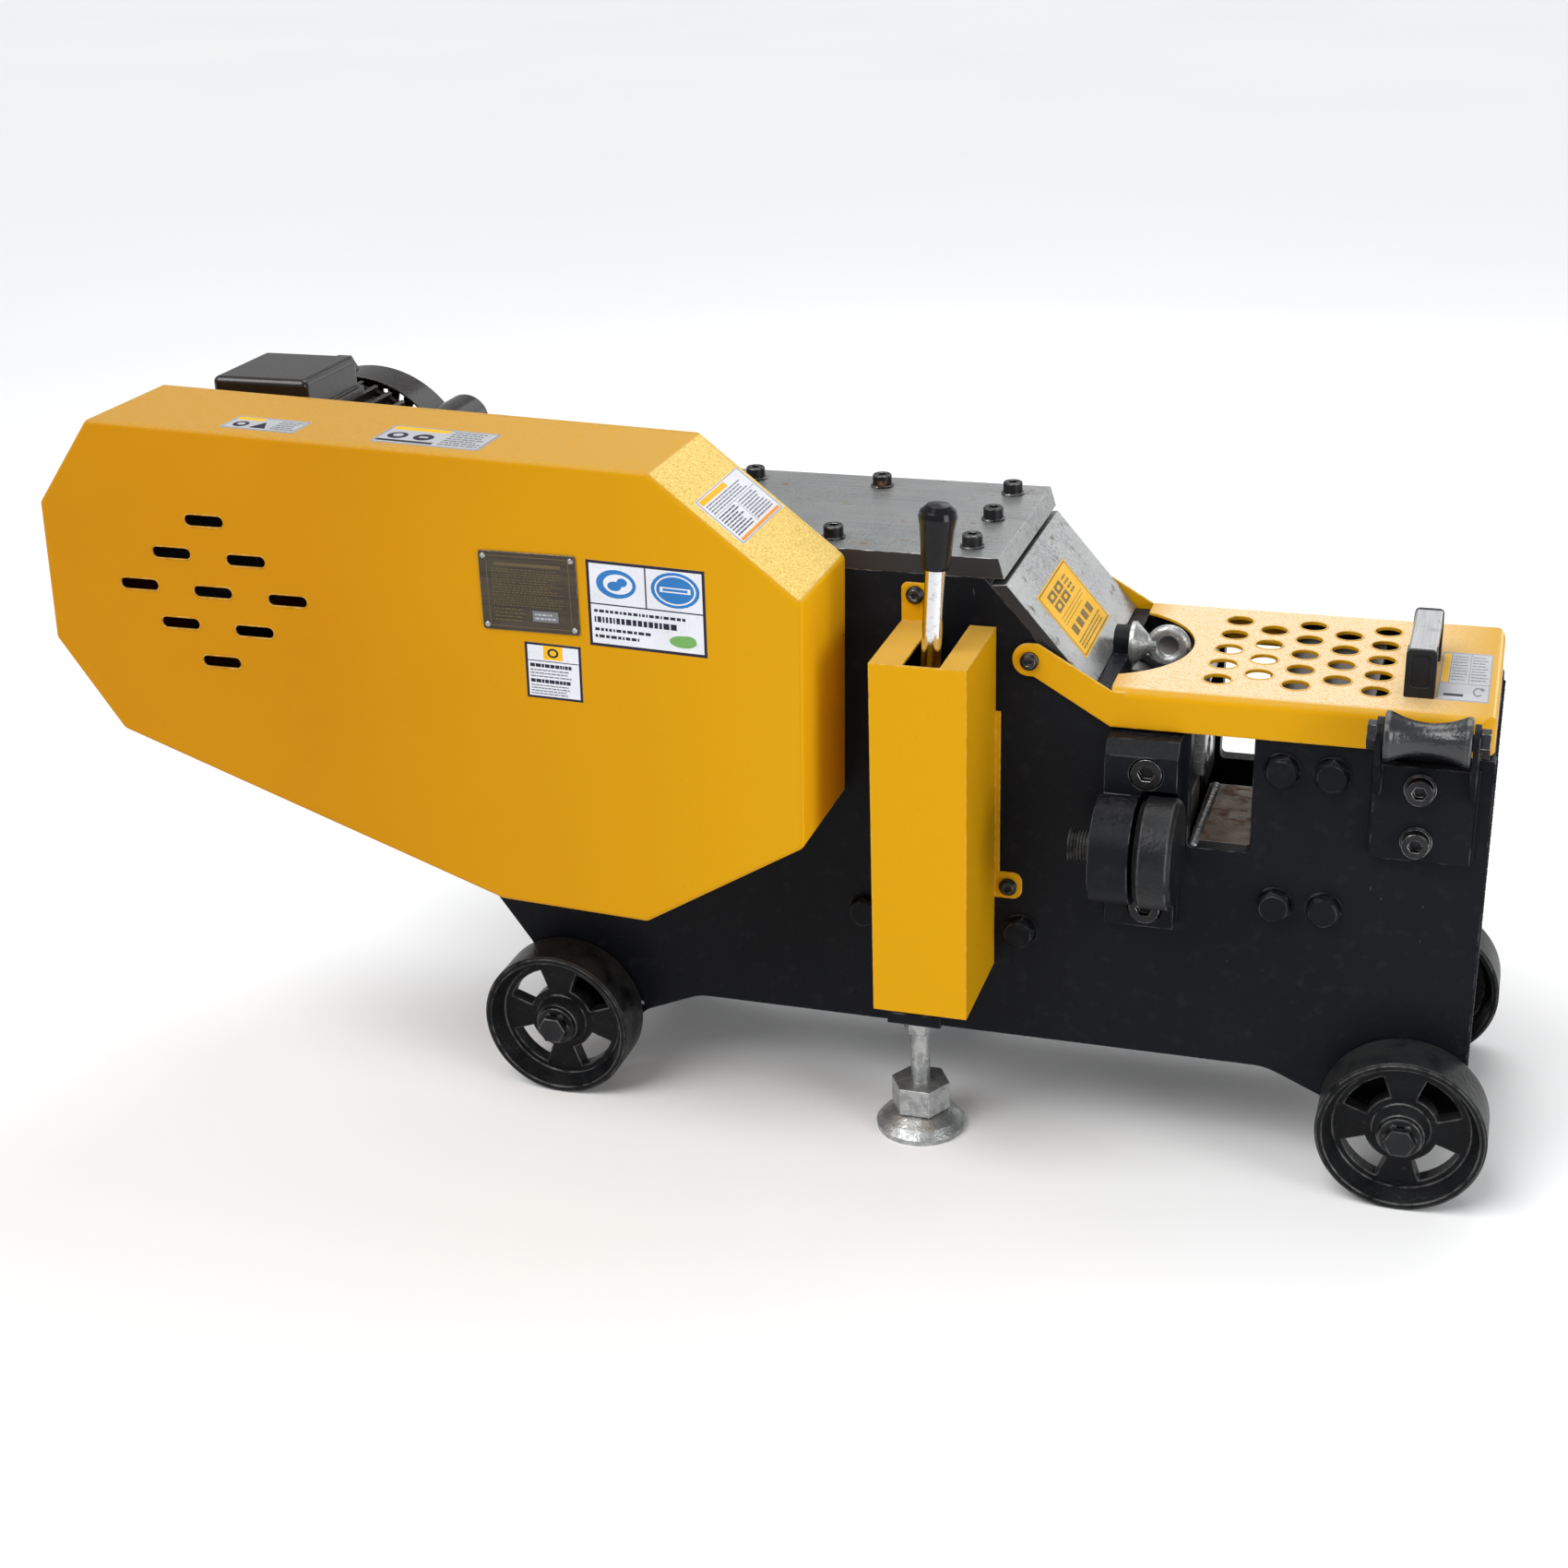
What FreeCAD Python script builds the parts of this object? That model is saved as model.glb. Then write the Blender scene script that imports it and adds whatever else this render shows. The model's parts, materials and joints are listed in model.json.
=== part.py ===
import FreeCAD, Part
import math
import os

# Rebar cutter on four wheels: a welded steel body with a belt drive, a two-stage
# gear train, an eccentric crankshaft, a connecting rod and a ram that carries the
# moving blade towards a fixed blade.  Units are millimetres.  +X points to the
# shearing end and +Z is up; the operator stands on the -Y side.  The pieces are drawn
# about the body's mid-plane (Y = 0) with the floor at Z = 0, and are saved about the
# point on the floor under the middle of the whole machine.

V = FreeCAD.Vector

# ---- driving dimensions -------------------------------------------------------
BODY_HALF = 124.0          # half the body's width over the side plates
PLATE_T = 18.0             # side plate thickness
INNER_HALF = BODY_HALF - PLATE_T
BODY_FRONT = 511.0
FRONT_STEP_X, FRONT_STEP_Z = 497.0, 462.0   # the guard's front skirt hangs over this step
BODY_BOTTOM = 110.0
DECK_Z = 498.0             # top of the side plates at the shearing end
CASE_TOP = 605.0           # top of the side plates round the gears
COVER_T = 20.0
TRAY_Z = 464.0             # top of the side plates under the motor

CRANK_X, CRANK_Z = -7.0, 415.0
DRIVE_X, DRIVE_Z = -330.0, 503.0
MOTOR_X, MOTOR_Z = -745.0, 600.0

THROW = 25.0               # eccentricity of the crankshaft, half the ram's stroke
ROD_LENGTH = 172.0
FIT = 0.05                 # radial clearance of a running fit
GAP = 0.3                  # clearance between faces of different pieces

MODULE_1, PINION_1, GEAR_1 = 4.0, 18, 62
MODULE_2, PINION_2, GEAR_2 = 5.0, 17, 54
DIST_1 = MODULE_1 * (PINION_1 + GEAR_1) / 2
DIST_2 = MODULE_2 * (PINION_2 + GEAR_2) / 2

THROAT_X0, THROAT_X1, THROAT_Z = 231.0, 291.0, 344.0
BLADE_X = 231.0            # face of the moving blade when the ram is back
FIXED_BLADE_X = 283.0
SHEAR_Y = -20.0            # plane in which the two blades pass
RAM_Z0, RAM_Z1 = 376.0, 454.0
RAM_Y0, RAM_Y1 = -46.0, 76.0
ROD_Y0, ROD_Y1 = -6.0, 32.0

WHEEL_R, WHEEL_Y0, WHEEL_Y1 = 82.0, -181.0, -128.0
FRONT_AXLE_X, REAR_AXLE_X = 456.0, -431.0
AXLE_R = 14.0

GUARD_Y, GUARD_BACK, GUARD_T = -269.0, -129.0, 2.5
PIVOT_X, PIVOT_Z, PIVOT_R = 74.0, 527.0, 5.0     # hinge of the blade guard
LID_X0, LID_X1, LID_Z, LID_SKIRT_Z, LID_T = 153.5, 509.0, 506.0, 466.0, 3.0
LID_HALF = 130.5

FLYWHEEL_R, MOTOR_PULLEY_R = 200.0, 62.0
BELT_Y, BELT_PITCH, BELT_COUNT = -212.5, 19.0, 3

BOX_X0, BOX_X1, BOX_Y, BOX_Z0, BOX_Z1 = -54.0, 40.0, -249.0, 192.0, 557.0
LEVER_X, LEVER_Y, LEVER_Z = -14.0, -206.0, 360.0   # pin on which the lever turns
LEVER_LEAN = math.radians(3)

STOP_Y, STOP_Z = -181.0, 361.0     # axis of the bar stop's screw
ROLLER_Y, ROLLER_Z = -165.0, 495.0
FOOT_X, FOOT_Y = -34.0, -143.0

FRAME_BOLTS = [(318, 434), (365, 434), (318, 292), (365, 292), (66, 232), (-96, 236)]


# The finished model's origin: the middle of the whole machine's length and width.
CENTRE_X, CENTRE_Y = -190.45, -39.8


# ---- helpers --------------------------------------------------------------------
def block(x0, x1, y0, y1, z0, z1):
    return Part.makeBox(x1 - x0, y1 - y0, z1 - z0, V(x0, y0, z0))


def rod_x(y, z, r, x0, x1):
    return Part.makeCylinder(r, x1 - x0, V(x0, y, z), V(1, 0, 0))


def rod_y(x, z, r, y0, y1):
    return Part.makeCylinder(r, y1 - y0, V(x, y0, z), V(0, 1, 0))


def rod_z(x, y, r, z0, z1):
    return Part.makeCylinder(r, z1 - z0, V(x, y, z0), V(0, 0, 1))


def ring_x(y, z, r_in, r_out, x0, x1):
    return rod_x(y, z, r_out, x0, x1).cut(rod_x(y, z, r_in, x0 - 1, x1 + 1))


def ring_y(x, z, r_in, r_out, y0, y1):
    return rod_y(x, z, r_out, y0, y1).cut(rod_y(x, z, r_in, y0 - 1, y1 + 1))


def outline(points):
    """Closed wire in the UV plane; a third value on a point rounds that corner."""
    count = len(points)
    edges = []
    ends = []
    for i, point in enumerate(points):
        here = V(point[0], point[1], 0)
        radius = point[2] if len(point) > 2 else 0
        if radius == 0:
            ends.append((here, here))
            continue
        before = V(points[i - 1][0], points[i - 1][1], 0).sub(here).normalize()
        after_point = points[(i + 1) % count]
        after = V(after_point[0], after_point[1], 0).sub(here).normalize()
        half = before.getAngle(after) / 2
        reach = radius / math.tan(half)
        start = here + before * reach
        end = here + after * reach
        bisector = (before + after).normalize()
        middle = here + bisector * (radius / math.sin(half) - radius)
        ends.append((start, end))
        edges.append((i, Part.Arc(start, middle, end).toShape()))
    arcs = dict(edges)
    chain = []
    for i in range(count):
        if i in arcs:
            chain.append(arcs[i])
        start = ends[i][1]
        end = ends[(i + 1) % count][0]
        if start.distanceToPoint(end) > 1e-6:
            chain.append(Part.LineSegment(start, end).toShape())
    return Part.Wire(chain)


def place(shape, normal):
    """Turn a shape drawn in the UV plane so that its normal lies along an axis."""
    u, v, w = {"x": (V(0, 1, 0), V(0, 0, 1), V(1, 0, 0)),
               "y": (V(1, 0, 0), V(0, 0, 1), V(0, -1, 0)),
               "z": (V(1, 0, 0), V(0, 1, 0), V(0, 0, 1))}[normal]
    matrix = FreeCAD.Matrix(u.x, v.x, w.x, 0, u.y, v.y, w.y, 0, u.z, v.z, w.z, 0, 0, 0, 0, 1)
    return shape.transformed(matrix)


def prism_x(points, x0, x1):
    face = place(Part.Face(outline(points)), "x")
    face.translate(V(x0, 0, 0))
    return face.extrude(V(x1 - x0, 0, 0))


def prism_y(points, y0, y1):
    face = place(Part.Face(outline(points)), "y")
    face.translate(V(0, y0, 0))
    return face.extrude(V(0, y1 - y0, 0))


def prism_z(points, z0, z1):
    face = Part.Face(outline(points))
    face.translate(V(0, 0, z0))
    return face.extrude(V(0, 0, z1 - z0))


def inset_prism_y(points, inset, y0, y1):
    """Prism along Y whose outline lies inside the given one by the inset."""
    face = Part.Face(outline(points)).makeOffset2D(-inset)
    face = place(face, "y")
    face.translate(V(0, y0, 0))
    return face.extrude(V(0, y1 - y0, 0))


def hexagon(flats, turn=0.0):
    radius = flats / math.sqrt(3)
    corners = [math.radians(60 * i + turn) for i in range(6)]
    return [(radius * math.cos(a), radius * math.sin(a)) for a in corners]


def hex_along(axis, a, b, flats, start, end, turn=0.0):
    """Hexagonal bar along an axis; a and b are its centre in the other two."""
    points = [(a + u, b + v) for u, v in hexagon(flats, turn)]
    return {"x": prism_x, "y": prism_y, "z": prism_z}[axis](points, start, end)


def revolve(profile, origin, axis):
    """Turn a closed profile of (along, radius) points once about an axis."""
    across = V(0, 0, 1) if abs(axis.z) < 0.5 else V(1, 0, 0)
    points = [origin + axis * along + across * radius for along, radius in profile]
    face = Part.Face(Part.makePolygon(points + [points[0]]))
    return face.revolve(origin, axis, 360)


def fuse(shapes):
    result = shapes[0]
    if len(shapes) > 1:
        result = result.multiFuse(shapes[1:])
    return result.removeSplitter()


def cut(shape, tools):
    for tool in tools:
        shape = shape.cut(tool)
    return shape


def mirrored(shape):
    return shape.mirror(V(0, 0, 0), V(0, 1, 0))


def save(name, *solids):
    shape = solids[0] if len(solids) == 1 else Part.makeCompound(list(solids))
    shape = shape.copy()
    shape.translate(V(-CENTRE_X, -CENTRE_Y, 0))
    shape.exportStep("parts/%s.step" % name)
    print(name, len(shape.Solids), round(shape.Volume / 1000.0, 1))


def countershaft_centre():
    """Point below the line of centres that holds both gear pairs in mesh."""
    span_x = CRANK_X - DRIVE_X
    span_z = CRANK_Z - DRIVE_Z
    span = math.hypot(span_x, span_z)
    along = (DIST_1 ** 2 - DIST_2 ** 2 + span ** 2) / (2 * span)
    drop = math.sqrt(DIST_1 ** 2 - along ** 2)
    unit_x = span_x / span
    unit_z = span_z / span
    return (DRIVE_X + along * unit_x + drop * unit_z, DRIVE_Z + along * unit_z - drop * unit_x)


COUNTER_X, COUNTER_Z = countershaft_centre()


# ---- gears ----------------------------------------------------------------------
def gear_points(module, teeth, phase):
    """Involute spur gear outline with one tooth centred on the phase angle."""
    pressure = math.radians(20)
    pitch_r = module * teeth / 2
    base_r = pitch_r * math.cos(pressure)
    tip_r = pitch_r + 0.85 * module
    root_r = pitch_r - 1.2 * module
    backlash = 0.35
    half_pitch = (math.pi * module / 2 - backlash) / (2 * pitch_r)
    involute_at_pitch = math.tan(pressure) - pressure
    flank = []
    start_r = max(base_r, root_r)
    steps = 4
    for i in range(steps + 1):
        r = start_r + (tip_r - start_r) * i / steps
        angle = math.acos(min(1.0, base_r / r))
        flank.append((r, half_pitch + involute_at_pitch - (math.tan(angle) - angle)))
    if root_r < base_r:
        flank.insert(0, (root_r, flank[0][1]))
    points = []
    for tooth in range(teeth):
        centre = phase + 2 * math.pi * tooth / teeth
        for r, offset in flank:
            points.append((r * math.cos(centre - offset), r * math.sin(centre - offset)))
        for r, offset in reversed(flank):
            points.append((r * math.cos(centre + offset), r * math.sin(centre + offset)))
    return points


def gear(module, teeth, x, z, phase, y0, y1):
    points = [(x + u, z + v) for u, v in gear_points(module, teeth, phase)]
    return prism_y(points, y0, y1)


def mesh_phases(teeth_b, ax, az, bx, bz):
    """Phase of a driver with a tooth on the line of centres, and of its mate."""
    towards_b = math.atan2(bz - az, bx - ax)
    return towards_b, towards_b + math.pi + math.pi / teeth_b


# ---- body -----------------------------------------------------------------------
def side_outline():
    slope_x, slope_z = 66.0, -77.0
    top_x = 28.1
    deck_x = top_x + (DECK_Z - CASE_TOP) * slope_x / slope_z
    return [(FRONT_STEP_X, DECK_Z, 6), (FRONT_STEP_X, FRONT_STEP_Z), (BODY_FRONT, FRONT_STEP_Z, 4),
            (BODY_FRONT, 58, 25), (402, 58, 22),
            (376, 84, 24), (318, BODY_BOTTOM, 60), (-284, BODY_BOTTOM, 60), (-346, 84, 24),
            (-372, 58, 20), (-452, 58, 20), (-474, 148, 30), (-503, 189, 30), (-562, 272, 40),
            (-838, 404, 30), (-866, 404, 8), (-866, TRAY_Z, 8), (-560, TRAY_Z, 40), (-446, CASE_TOP, 12),
            (top_x, CASE_TOP), (deck_x, DECK_Z)]


def side_plate():
    """Plate with the holes that both sides share; the far one is its mirror image."""
    plate = prism_y(side_outline(), -BODY_HALF, -INNER_HALF)
    y0, y1 = -BODY_HALF - 1, -INNER_HALF + 1
    throat = [(THROAT_X0, THROAT_Z, 5), (THROAT_X1, THROAT_Z, 5),
              (THROAT_X1, DECK_Z + 20), (THROAT_X0, DECK_Z + 20)]
    tools = [prism_y(throat, y0, y1), rod_y(CRANK_X, CRANK_Z, 46, y0, y1),
             rod_y(COUNTER_X, COUNTER_Z, 45, y0, y1), rod_y(DRIVE_X, DRIVE_Z, 45, y0, y1),
             rod_y(FRONT_AXLE_X, WHEEL_R, AXLE_R + FIT, y0, y1),
             rod_y(REAR_AXLE_X, WHEEL_R, AXLE_R + FIT, y0, y1),
             rod_y(PIVOT_X, PIVOT_Z, PIVOT_R + FIT, y0, y1)]
    tools += [rod_y(x, z, 10 + FIT, y0, y1) for x, z in FRAME_BOLTS]
    return cut(plate, tools)


def near_fixings():
    """Tapped holes that only the near side plate has: (x, z, radius)."""
    holes = [(x, z, 10) for x, z in stop_bolt_places()]
    holes += [(x, z, 8) for x, z in roller_bolt_places()]
    holes += [(54, 281, 5), (-40, 584, 5)]
    return holes


def side_plates():
    near = cut(side_plate(), [rod_y(x, z, r + FIT, -BODY_HALF - 1, -INNER_HALF - 3)
                              for x, z, r in near_fixings()])
    save("side_plate_near", near)
    save("side_plate_far", mirrored(side_plate()))


def frame_plates():
    """Plates welded between the side plates: floor, front, two bulkheads and the motor tray."""
    floor = block(-430, BODY_FRONT - 20, -INNER_HALF, INNER_HALF, 112, 126)
    front = block(BODY_FRONT - 20, BODY_FRONT - 1, -INNER_HALF, INNER_HALF, 112, FRONT_STEP_Z - 4)
    rear_wall = block(-444, -430, -INNER_HALF, INNER_HALF, 112, CASE_TOP - 1)
    tray = block(-846, -556, -INNER_HALF, INNER_HALF, TRAY_Z - 10, TRAY_Z)
    tray_end = block(-860, -846, -INNER_HALF, INNER_HALF, 410, TRAY_Z)
    eye_wall = block(134.5 + GAP, 151, -INNER_HALF, INNER_HALF, 480, DECK_Z)
    eye_lug = prism_x([(-17, 480), (17, 480), (17, 522, 14), (-17, 522, 14)], 134.5 + GAP, 151)
    eye_wall = fuse([eye_wall, eye_lug]).cut(rod_x(0, 505, 10 + FIT, 130, 160))
    save("frame_plates", rear_wall, floor, front, fuse([tray, tray_end]), eye_wall)


def frame_bolts():
    """Hexagon bolts through the side plates, heads flush against their outer faces."""
    solids = []
    for index, (x, z) in enumerate(FRAME_BOLTS):
        head = hex_along("y", x, z, 30, -BODY_HALF - 12, -BODY_HALF, 10 + 17 * index)
        dome = revolve([(-BODY_HALF - 12.5, 0), (-BODY_HALF - 12.5, 13), (-BODY_HALF - 7, 17.5),
                        (-BODY_HALF + 1, 17.5), (-BODY_HALF + 1, 0)], V(x, 0, z), V(0, 1, 0))
        near = fuse([head.common(dome), rod_y(x, z, 10, -BODY_HALF, -INNER_HALF)])
        solids += [near, mirrored(near)]
    save("frame_bolts", *solids)


# ---- gear case ------------------------------------------------------------------
COVER_BOLTS = [(8, 91), (8, 0), (8, -91), (-132, 91), (-132, -91), (-272, 91), (-272, -91),
               (-412, 91), (-412, -91)]


def gear_case_cover():
    """Thick top plate with a leaning front end; returns its socket-head bolts."""
    end = [(-430, CASE_TOP), (47, CASE_TOP), (41, CASE_TOP + COVER_T), (-430, CASE_TOP + COVER_T)]
    plate = prism_y(end, -BODY_HALF, BODY_HALF)
    plate = cut(plate, [rod_z(x, y, 8 + FIT, CASE_TOP - 1, CASE_TOP + COVER_T + 1) for x, y in COVER_BOLTS])
    save("gear_case_cover", plate)
    solids = []
    for x, y in COVER_BOLTS:
        top = CASE_TOP + COVER_T
        head = revolve([(top, 0), (top, 12), (top + 1.5, 12), (top + 1.5, 10), (top + 12, 10),
                        (top + 13, 9), (top + 13, 0)], V(x, y, 0), V(0, 0, 1))
        socket = hex_along("z", x, y, 9, top + 7, top + 15)
        solids.append(fuse([head, rod_z(x, y, 8, CASE_TOP, top)]).cut(socket))
    return solids


def sloped_cover():
    """Inclined plate that closes the crank chamber towards the shearing end."""
    profile = [(34.6, 598.0), (49.0, 599.5), (134.5, 499.8), (134.5, DECK_Z + GAP), (120.1, DECK_Z + GAP)]
    plate = prism_y(profile, -BODY_HALF, BODY_HALF)
    save("sloped_cover", plate)


def eye_bolt():
    shank = rod_x(0, 505, 10, 135, 152)
    collar = revolve([(151, 0), (151, 22), (155, 22), (160, 17), (168, 9), (176, 7.5), (176, 0)],
                     V(0, 0, 505), V(1, 0, 0))
    ring = Part.makeTorus(16, 6, V(188, 0, 505), V(0, 1, 0))
    save("eye_bolt", fuse([shank, collar, ring]))


# ---- gear train -----------------------------------------------------------------
def bearing(x, z, r_in, r_out, y0, y1):
    body = ring_y(x, z, r_in + FIT, r_out - FIT, y0, y1)
    middle = (r_in + r_out) / 2
    width = (r_out - r_in) / 4
    grooves = [ring_y(x, z, middle - width, middle + width, y0 - 1, y0 + 1.5),
               ring_y(x, z, middle - width, middle + width, y1 - 1.5, y1 + 1)]
    return cut(body, grooves)


def bearings():
    near = (-BODY_HALF, -INNER_HALF)
    far = (INNER_HALF, BODY_HALF)
    rings = [bearing(DRIVE_X, DRIVE_Z, 25, 45, *span) for span in (near, far)]
    rings += [bearing(COUNTER_X, COUNTER_Z, 25, 45, *span) for span in (near, far)]
    rings += [bearing(CRANK_X, CRANK_Z, 38, 46, *near), bearing(CRANK_X, CRANK_Z, 36, 46, *far)]
    save("shaft_bearings", *rings)


BEARING_CAPS = [(DRIVE_X, DRIVE_Z, 62), (COUNTER_X, COUNTER_Z, 62), (CRANK_X, CRANK_Z, 86)]


def bearing_caps():
    """Round bolted caps over the shaft ends on the far side; returns their bolts."""
    solids = []
    for x, z, r in BEARING_CAPS:
        cap = revolve([(BODY_HALF, 0), (BODY_HALF, r), (BODY_HALF + 7, r), (BODY_HALF + 9, r - 2),
                       (BODY_HALF + 9, r - 16), (BODY_HALF + 15, r - 22), (BODY_HALF + 15, 0)],
                      V(x, 0, z), V(0, 1, 0))
        solids.append(cap)
    save("bearing_caps", *solids)
    bolts = []
    for x, z, r in BEARING_CAPS:
        for i in range(6):
            a = math.radians(60 * i + 30)
            bolts.append(hex_along("y", x + (r - 9) * math.cos(a), z + (r - 9) * math.sin(a), 13,
                                   BODY_HALF + 9, BODY_HALF + 15))
    return bolts


PHASE_PINION_1, PHASE_GEAR_1 = mesh_phases(GEAR_1, DRIVE_X, DRIVE_Z, COUNTER_X, COUNTER_Z)
PHASE_PINION_2, PHASE_GEAR_2 = mesh_phases(GEAR_2, COUNTER_X, COUNTER_Z, CRANK_X, CRANK_Z)


def drive_shaft():
    shaft = rod_y(DRIVE_X, DRIVE_Z, 25, -172, BODY_HALF - 1)
    nose = rod_y(DRIVE_X, DRIVE_Z, 20, -256, -172)
    pinion = gear(MODULE_1, PINION_1, DRIVE_X, DRIVE_Z, PHASE_PINION_1, 40, 90)
    nut = hex_along("y", DRIVE_X, DRIVE_Z, 46, -263, -251 - GAP)
    save("drive_shaft", fuse([shaft, nose, pinion, nut]))


def countershaft():
    shaft = rod_y(COUNTER_X, COUNTER_Z, 25, -BODY_HALF + 1, BODY_HALF - 1)
    pinion = gear(MODULE_2, PINION_2, COUNTER_X, COUNTER_Z, PHASE_PINION_2, -102, -50)
    save("countershaft", fuse([shaft, pinion]))
    wheel = gear(MODULE_1, GEAR_1, COUNTER_X, COUNTER_Z, PHASE_GEAR_1, 42, 88)
    recess = [ring_y(COUNTER_X, COUNTER_Z, 48, 104, 40, 52), ring_y(COUNTER_X, COUNTER_Z, 48, 104, 78, 90)]
    holes = [rod_y(COUNTER_X + 76 * math.cos(math.radians(a)), COUNTER_Z + 76 * math.sin(math.radians(a)),
                   18, 40, 90) for a in range(0, 360, 60)]
    wheel = cut(wheel, recess + holes + [rod_y(COUNTER_X, COUNTER_Z, 25 + FIT, 40, 90)])
    save("intermediate_gear", wheel)


JAW_ANGLES = range(0, 360, 90)


def jaw(r_in, r_out, start, sweep, y0, y1):
    """One clutch jaw, a sector of a ring about the crankshaft's axis."""
    sector = [(0, 0)]
    for i in range(5):
        a = math.radians(start + sweep * i / 4)
        sector.append((80 * math.cos(a), 80 * math.sin(a)))
    sector = [(CRANK_X + u, CRANK_Z + v) for u, v in sector]
    return ring_y(CRANK_X, CRANK_Z, r_in, r_out, y0, y1).common(prism_y(sector, y0 - 1, y1 + 1))


def clutch_gear():
    """Last gear of the train; it idles on the crankshaft and carries jaws on its hub."""
    wheel = gear(MODULE_2, GEAR_2, CRANK_X, CRANK_Z, PHASE_GEAR_2, -98, -54)
    recess = [ring_y(CRANK_X, CRANK_Z, 60, 112, -99, -88), ring_y(CRANK_X, CRANK_Z, 60, 112, -64, -53)]
    holes = [rod_y(CRANK_X + 87 * math.cos(math.radians(a)), CRANK_Z + 87 * math.sin(math.radians(a)),
                   17, -99, -53) for a in range(0, 360, 60)]
    hub = rod_y(CRANK_X, CRANK_Z, 38, -138, -96)
    bore = rod_y(CRANK_X, CRANK_Z, 30 + FIT, -160, 0)
    jaws = [jaw(31, 37, a, 36, -146, -137) for a in JAW_ANGLES]
    save("clutch_gear", fuse([cut(wheel, recess + holes), hub] + jaws).cut(bore))


def crankshaft():
    ecc_x = CRANK_X - THROW
    pieces = [rod_y(CRANK_X, CRANK_Z, 20, -180, -138), rod_y(CRANK_X, CRANK_Z, 30, -140, -12),
              rod_y(CRANK_X, CRANK_Z, 34, -50, -8), rod_y(ecc_x, CRANK_Z, 62, -8, 34),
              rod_y(CRANK_X, CRANK_Z, 36, 34, BODY_HALF - 1)]
    save("crankshaft", fuse(pieces))


def connecting_rod():
    ecc_x = CRANK_X - THROW
    eye_x = ecc_x + ROD_LENGTH
    big_end = rod_y(ecc_x, CRANK_Z, 80, ROD_Y0, ROD_Y1)
    eye = prism_y([(eye_x - 36, CRANK_Z - 34, 30), (eye_x + 36, CRANK_Z - 34, 30),
                   (eye_x + 36, CRANK_Z + 60, 30), (eye_x - 36, CRANK_Z + 60, 30)], ROD_Y0, ROD_Y1)
    shank = prism_y([(ecc_x + 40, CRANK_Z - 44), (eye_x - 20, CRANK_Z - 30),
                     (eye_x - 20, CRANK_Z + 42), (ecc_x + 40, CRANK_Z + 50)], ROD_Y0 + 6, ROD_Y1 - 6)
    bore = rod_y(ecc_x, CRANK_Z, 66, ROD_Y0 - 1, ROD_Y1 + 1)
    slot = prism_y([(eye_x - 23.8, CRANK_Z - 18.6, 18), (eye_x + 23.8, CRANK_Z - 18.6, 18),
                    (eye_x + 23.8, CRANK_Z + 43.6, 18), (eye_x - 23.8, CRANK_Z + 43.6, 18)],
                   ROD_Y0 - 1, ROD_Y1 + 1)
    bush = ring_y(ecc_x, CRANK_Z, 62 + FIT, 66 - FIT, ROD_Y0, ROD_Y1)
    save("connecting_rod", cut(fuse([big_end, eye, shank]), [bore, slot]), bush)


# ---- ram and blades -------------------------------------------------------------
def wrist_x():
    return CRANK_X - THROW + ROD_LENGTH


def ram():
    body = block(100, 205, RAM_Y0, RAM_Y1, RAM_Z0, RAM_Z1)
    slot = block(99, 184, ROD_Y0 - 2, ROD_Y1 + 2, RAM_Z0 - 1, RAM_Z1 + 1)
    pin_hole = rod_y(wrist_x(), CRANK_Z, 18 + FIT, RAM_Y0 - 1, RAM_Y1 + 1)
    bolts = [rod_x(10, z, 8 + FIT, 190, 206) for z in (395, 435)]
    save("ram", cut(body, [slot, pin_hole] + bolts))
    save("wrist_pin", rod_y(wrist_x(), CRANK_Z, 18, RAM_Y0 + 2, RAM_Y1 - 2))


def ram_guides():
    """Rails above and below the ram, with a gap between them for the connecting rod."""
    rails = []
    for z0, z1 in ((338, RAM_Z0 - 0.2), (RAM_Z1 + 0.2, 480)):
        rails.append(block(136, 226, -INNER_HALF, ROD_Y0 - 4, z0, z1))
        rails.append(block(100, 226, ROD_Y1 + 4, INNER_HALF, z0, z1))
    save("ram_guides", *rails)


def blades():
    holes = [rod_x(10, z, 8 + FIT, 200, 240) for z in (395, 435)]
    sinks = [rod_x(10, z, 13, 219, 240) for z in (395, 435)]
    moving = block(205, BLADE_X, SHEAR_Y, 40, RAM_Z0, RAM_Z1)
    solids = [cut(moving, holes + sinks)]
    for z in (395, 435):
        head = rod_x(10, z, 12.8, 219 + 0.1, 229)
        socket = hex_along("x", 10, z, 12, 222, 232)
        solids.append(fuse([head.cut(socket), rod_x(10, z, 8, 191, 219.5)]))
    save("moving_blade", *solids)
    fixed = block(FIXED_BLADE_X, 340, SHEAR_Y - 28, SHEAR_Y - GAP, 346, 430)
    fixed = fixed.cut(rod_y(318, 388, 9, -60, 0))
    save("fixed_blade", fixed)


def blade_block():
    """Heavy block behind the fixed blade, and the wear block that the bar rests on."""
    seat = block(THROAT_X1 + GAP, 395, -INNER_HALF, INNER_HALF, 262, 488)
    pocket = block(THROAT_X1 - 1, 341, SHEAR_Y - 29, SHEAR_Y + 1, 345, 431)
    window = block(THROAT_X1 - 1, 310, -INNER_HALF - 1, -52, 431, 489)
    save("fixed_blade_block", cut(seat, [pocket, window]))
    save("bar_rest_block", block(THROAT_X0, THROAT_X1, -INNER_HALF, 37, 300, THROAT_Z))


# ---- dog clutch and lever ---------------------------------------------------------
def clutch_sleeve():
    """Sliding jaw sleeve on the crankshaft's end, with a groove for the fork."""
    body = revolve([(-184, 20 + FIT), (-184, 35), (-174, 35), (-174, 29), (-162, 29), (-162, 39),
                    (-156, 39), (-156, 20 + FIT)], V(CRANK_X, 0, CRANK_Z), V(0, 1, 0))
    jaws = [jaw(31, 37, a + 39, 32, -157, -148) for a in JAW_ANGLES]
    save("clutch_sleeve", fuse([body] + jaws))


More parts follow.
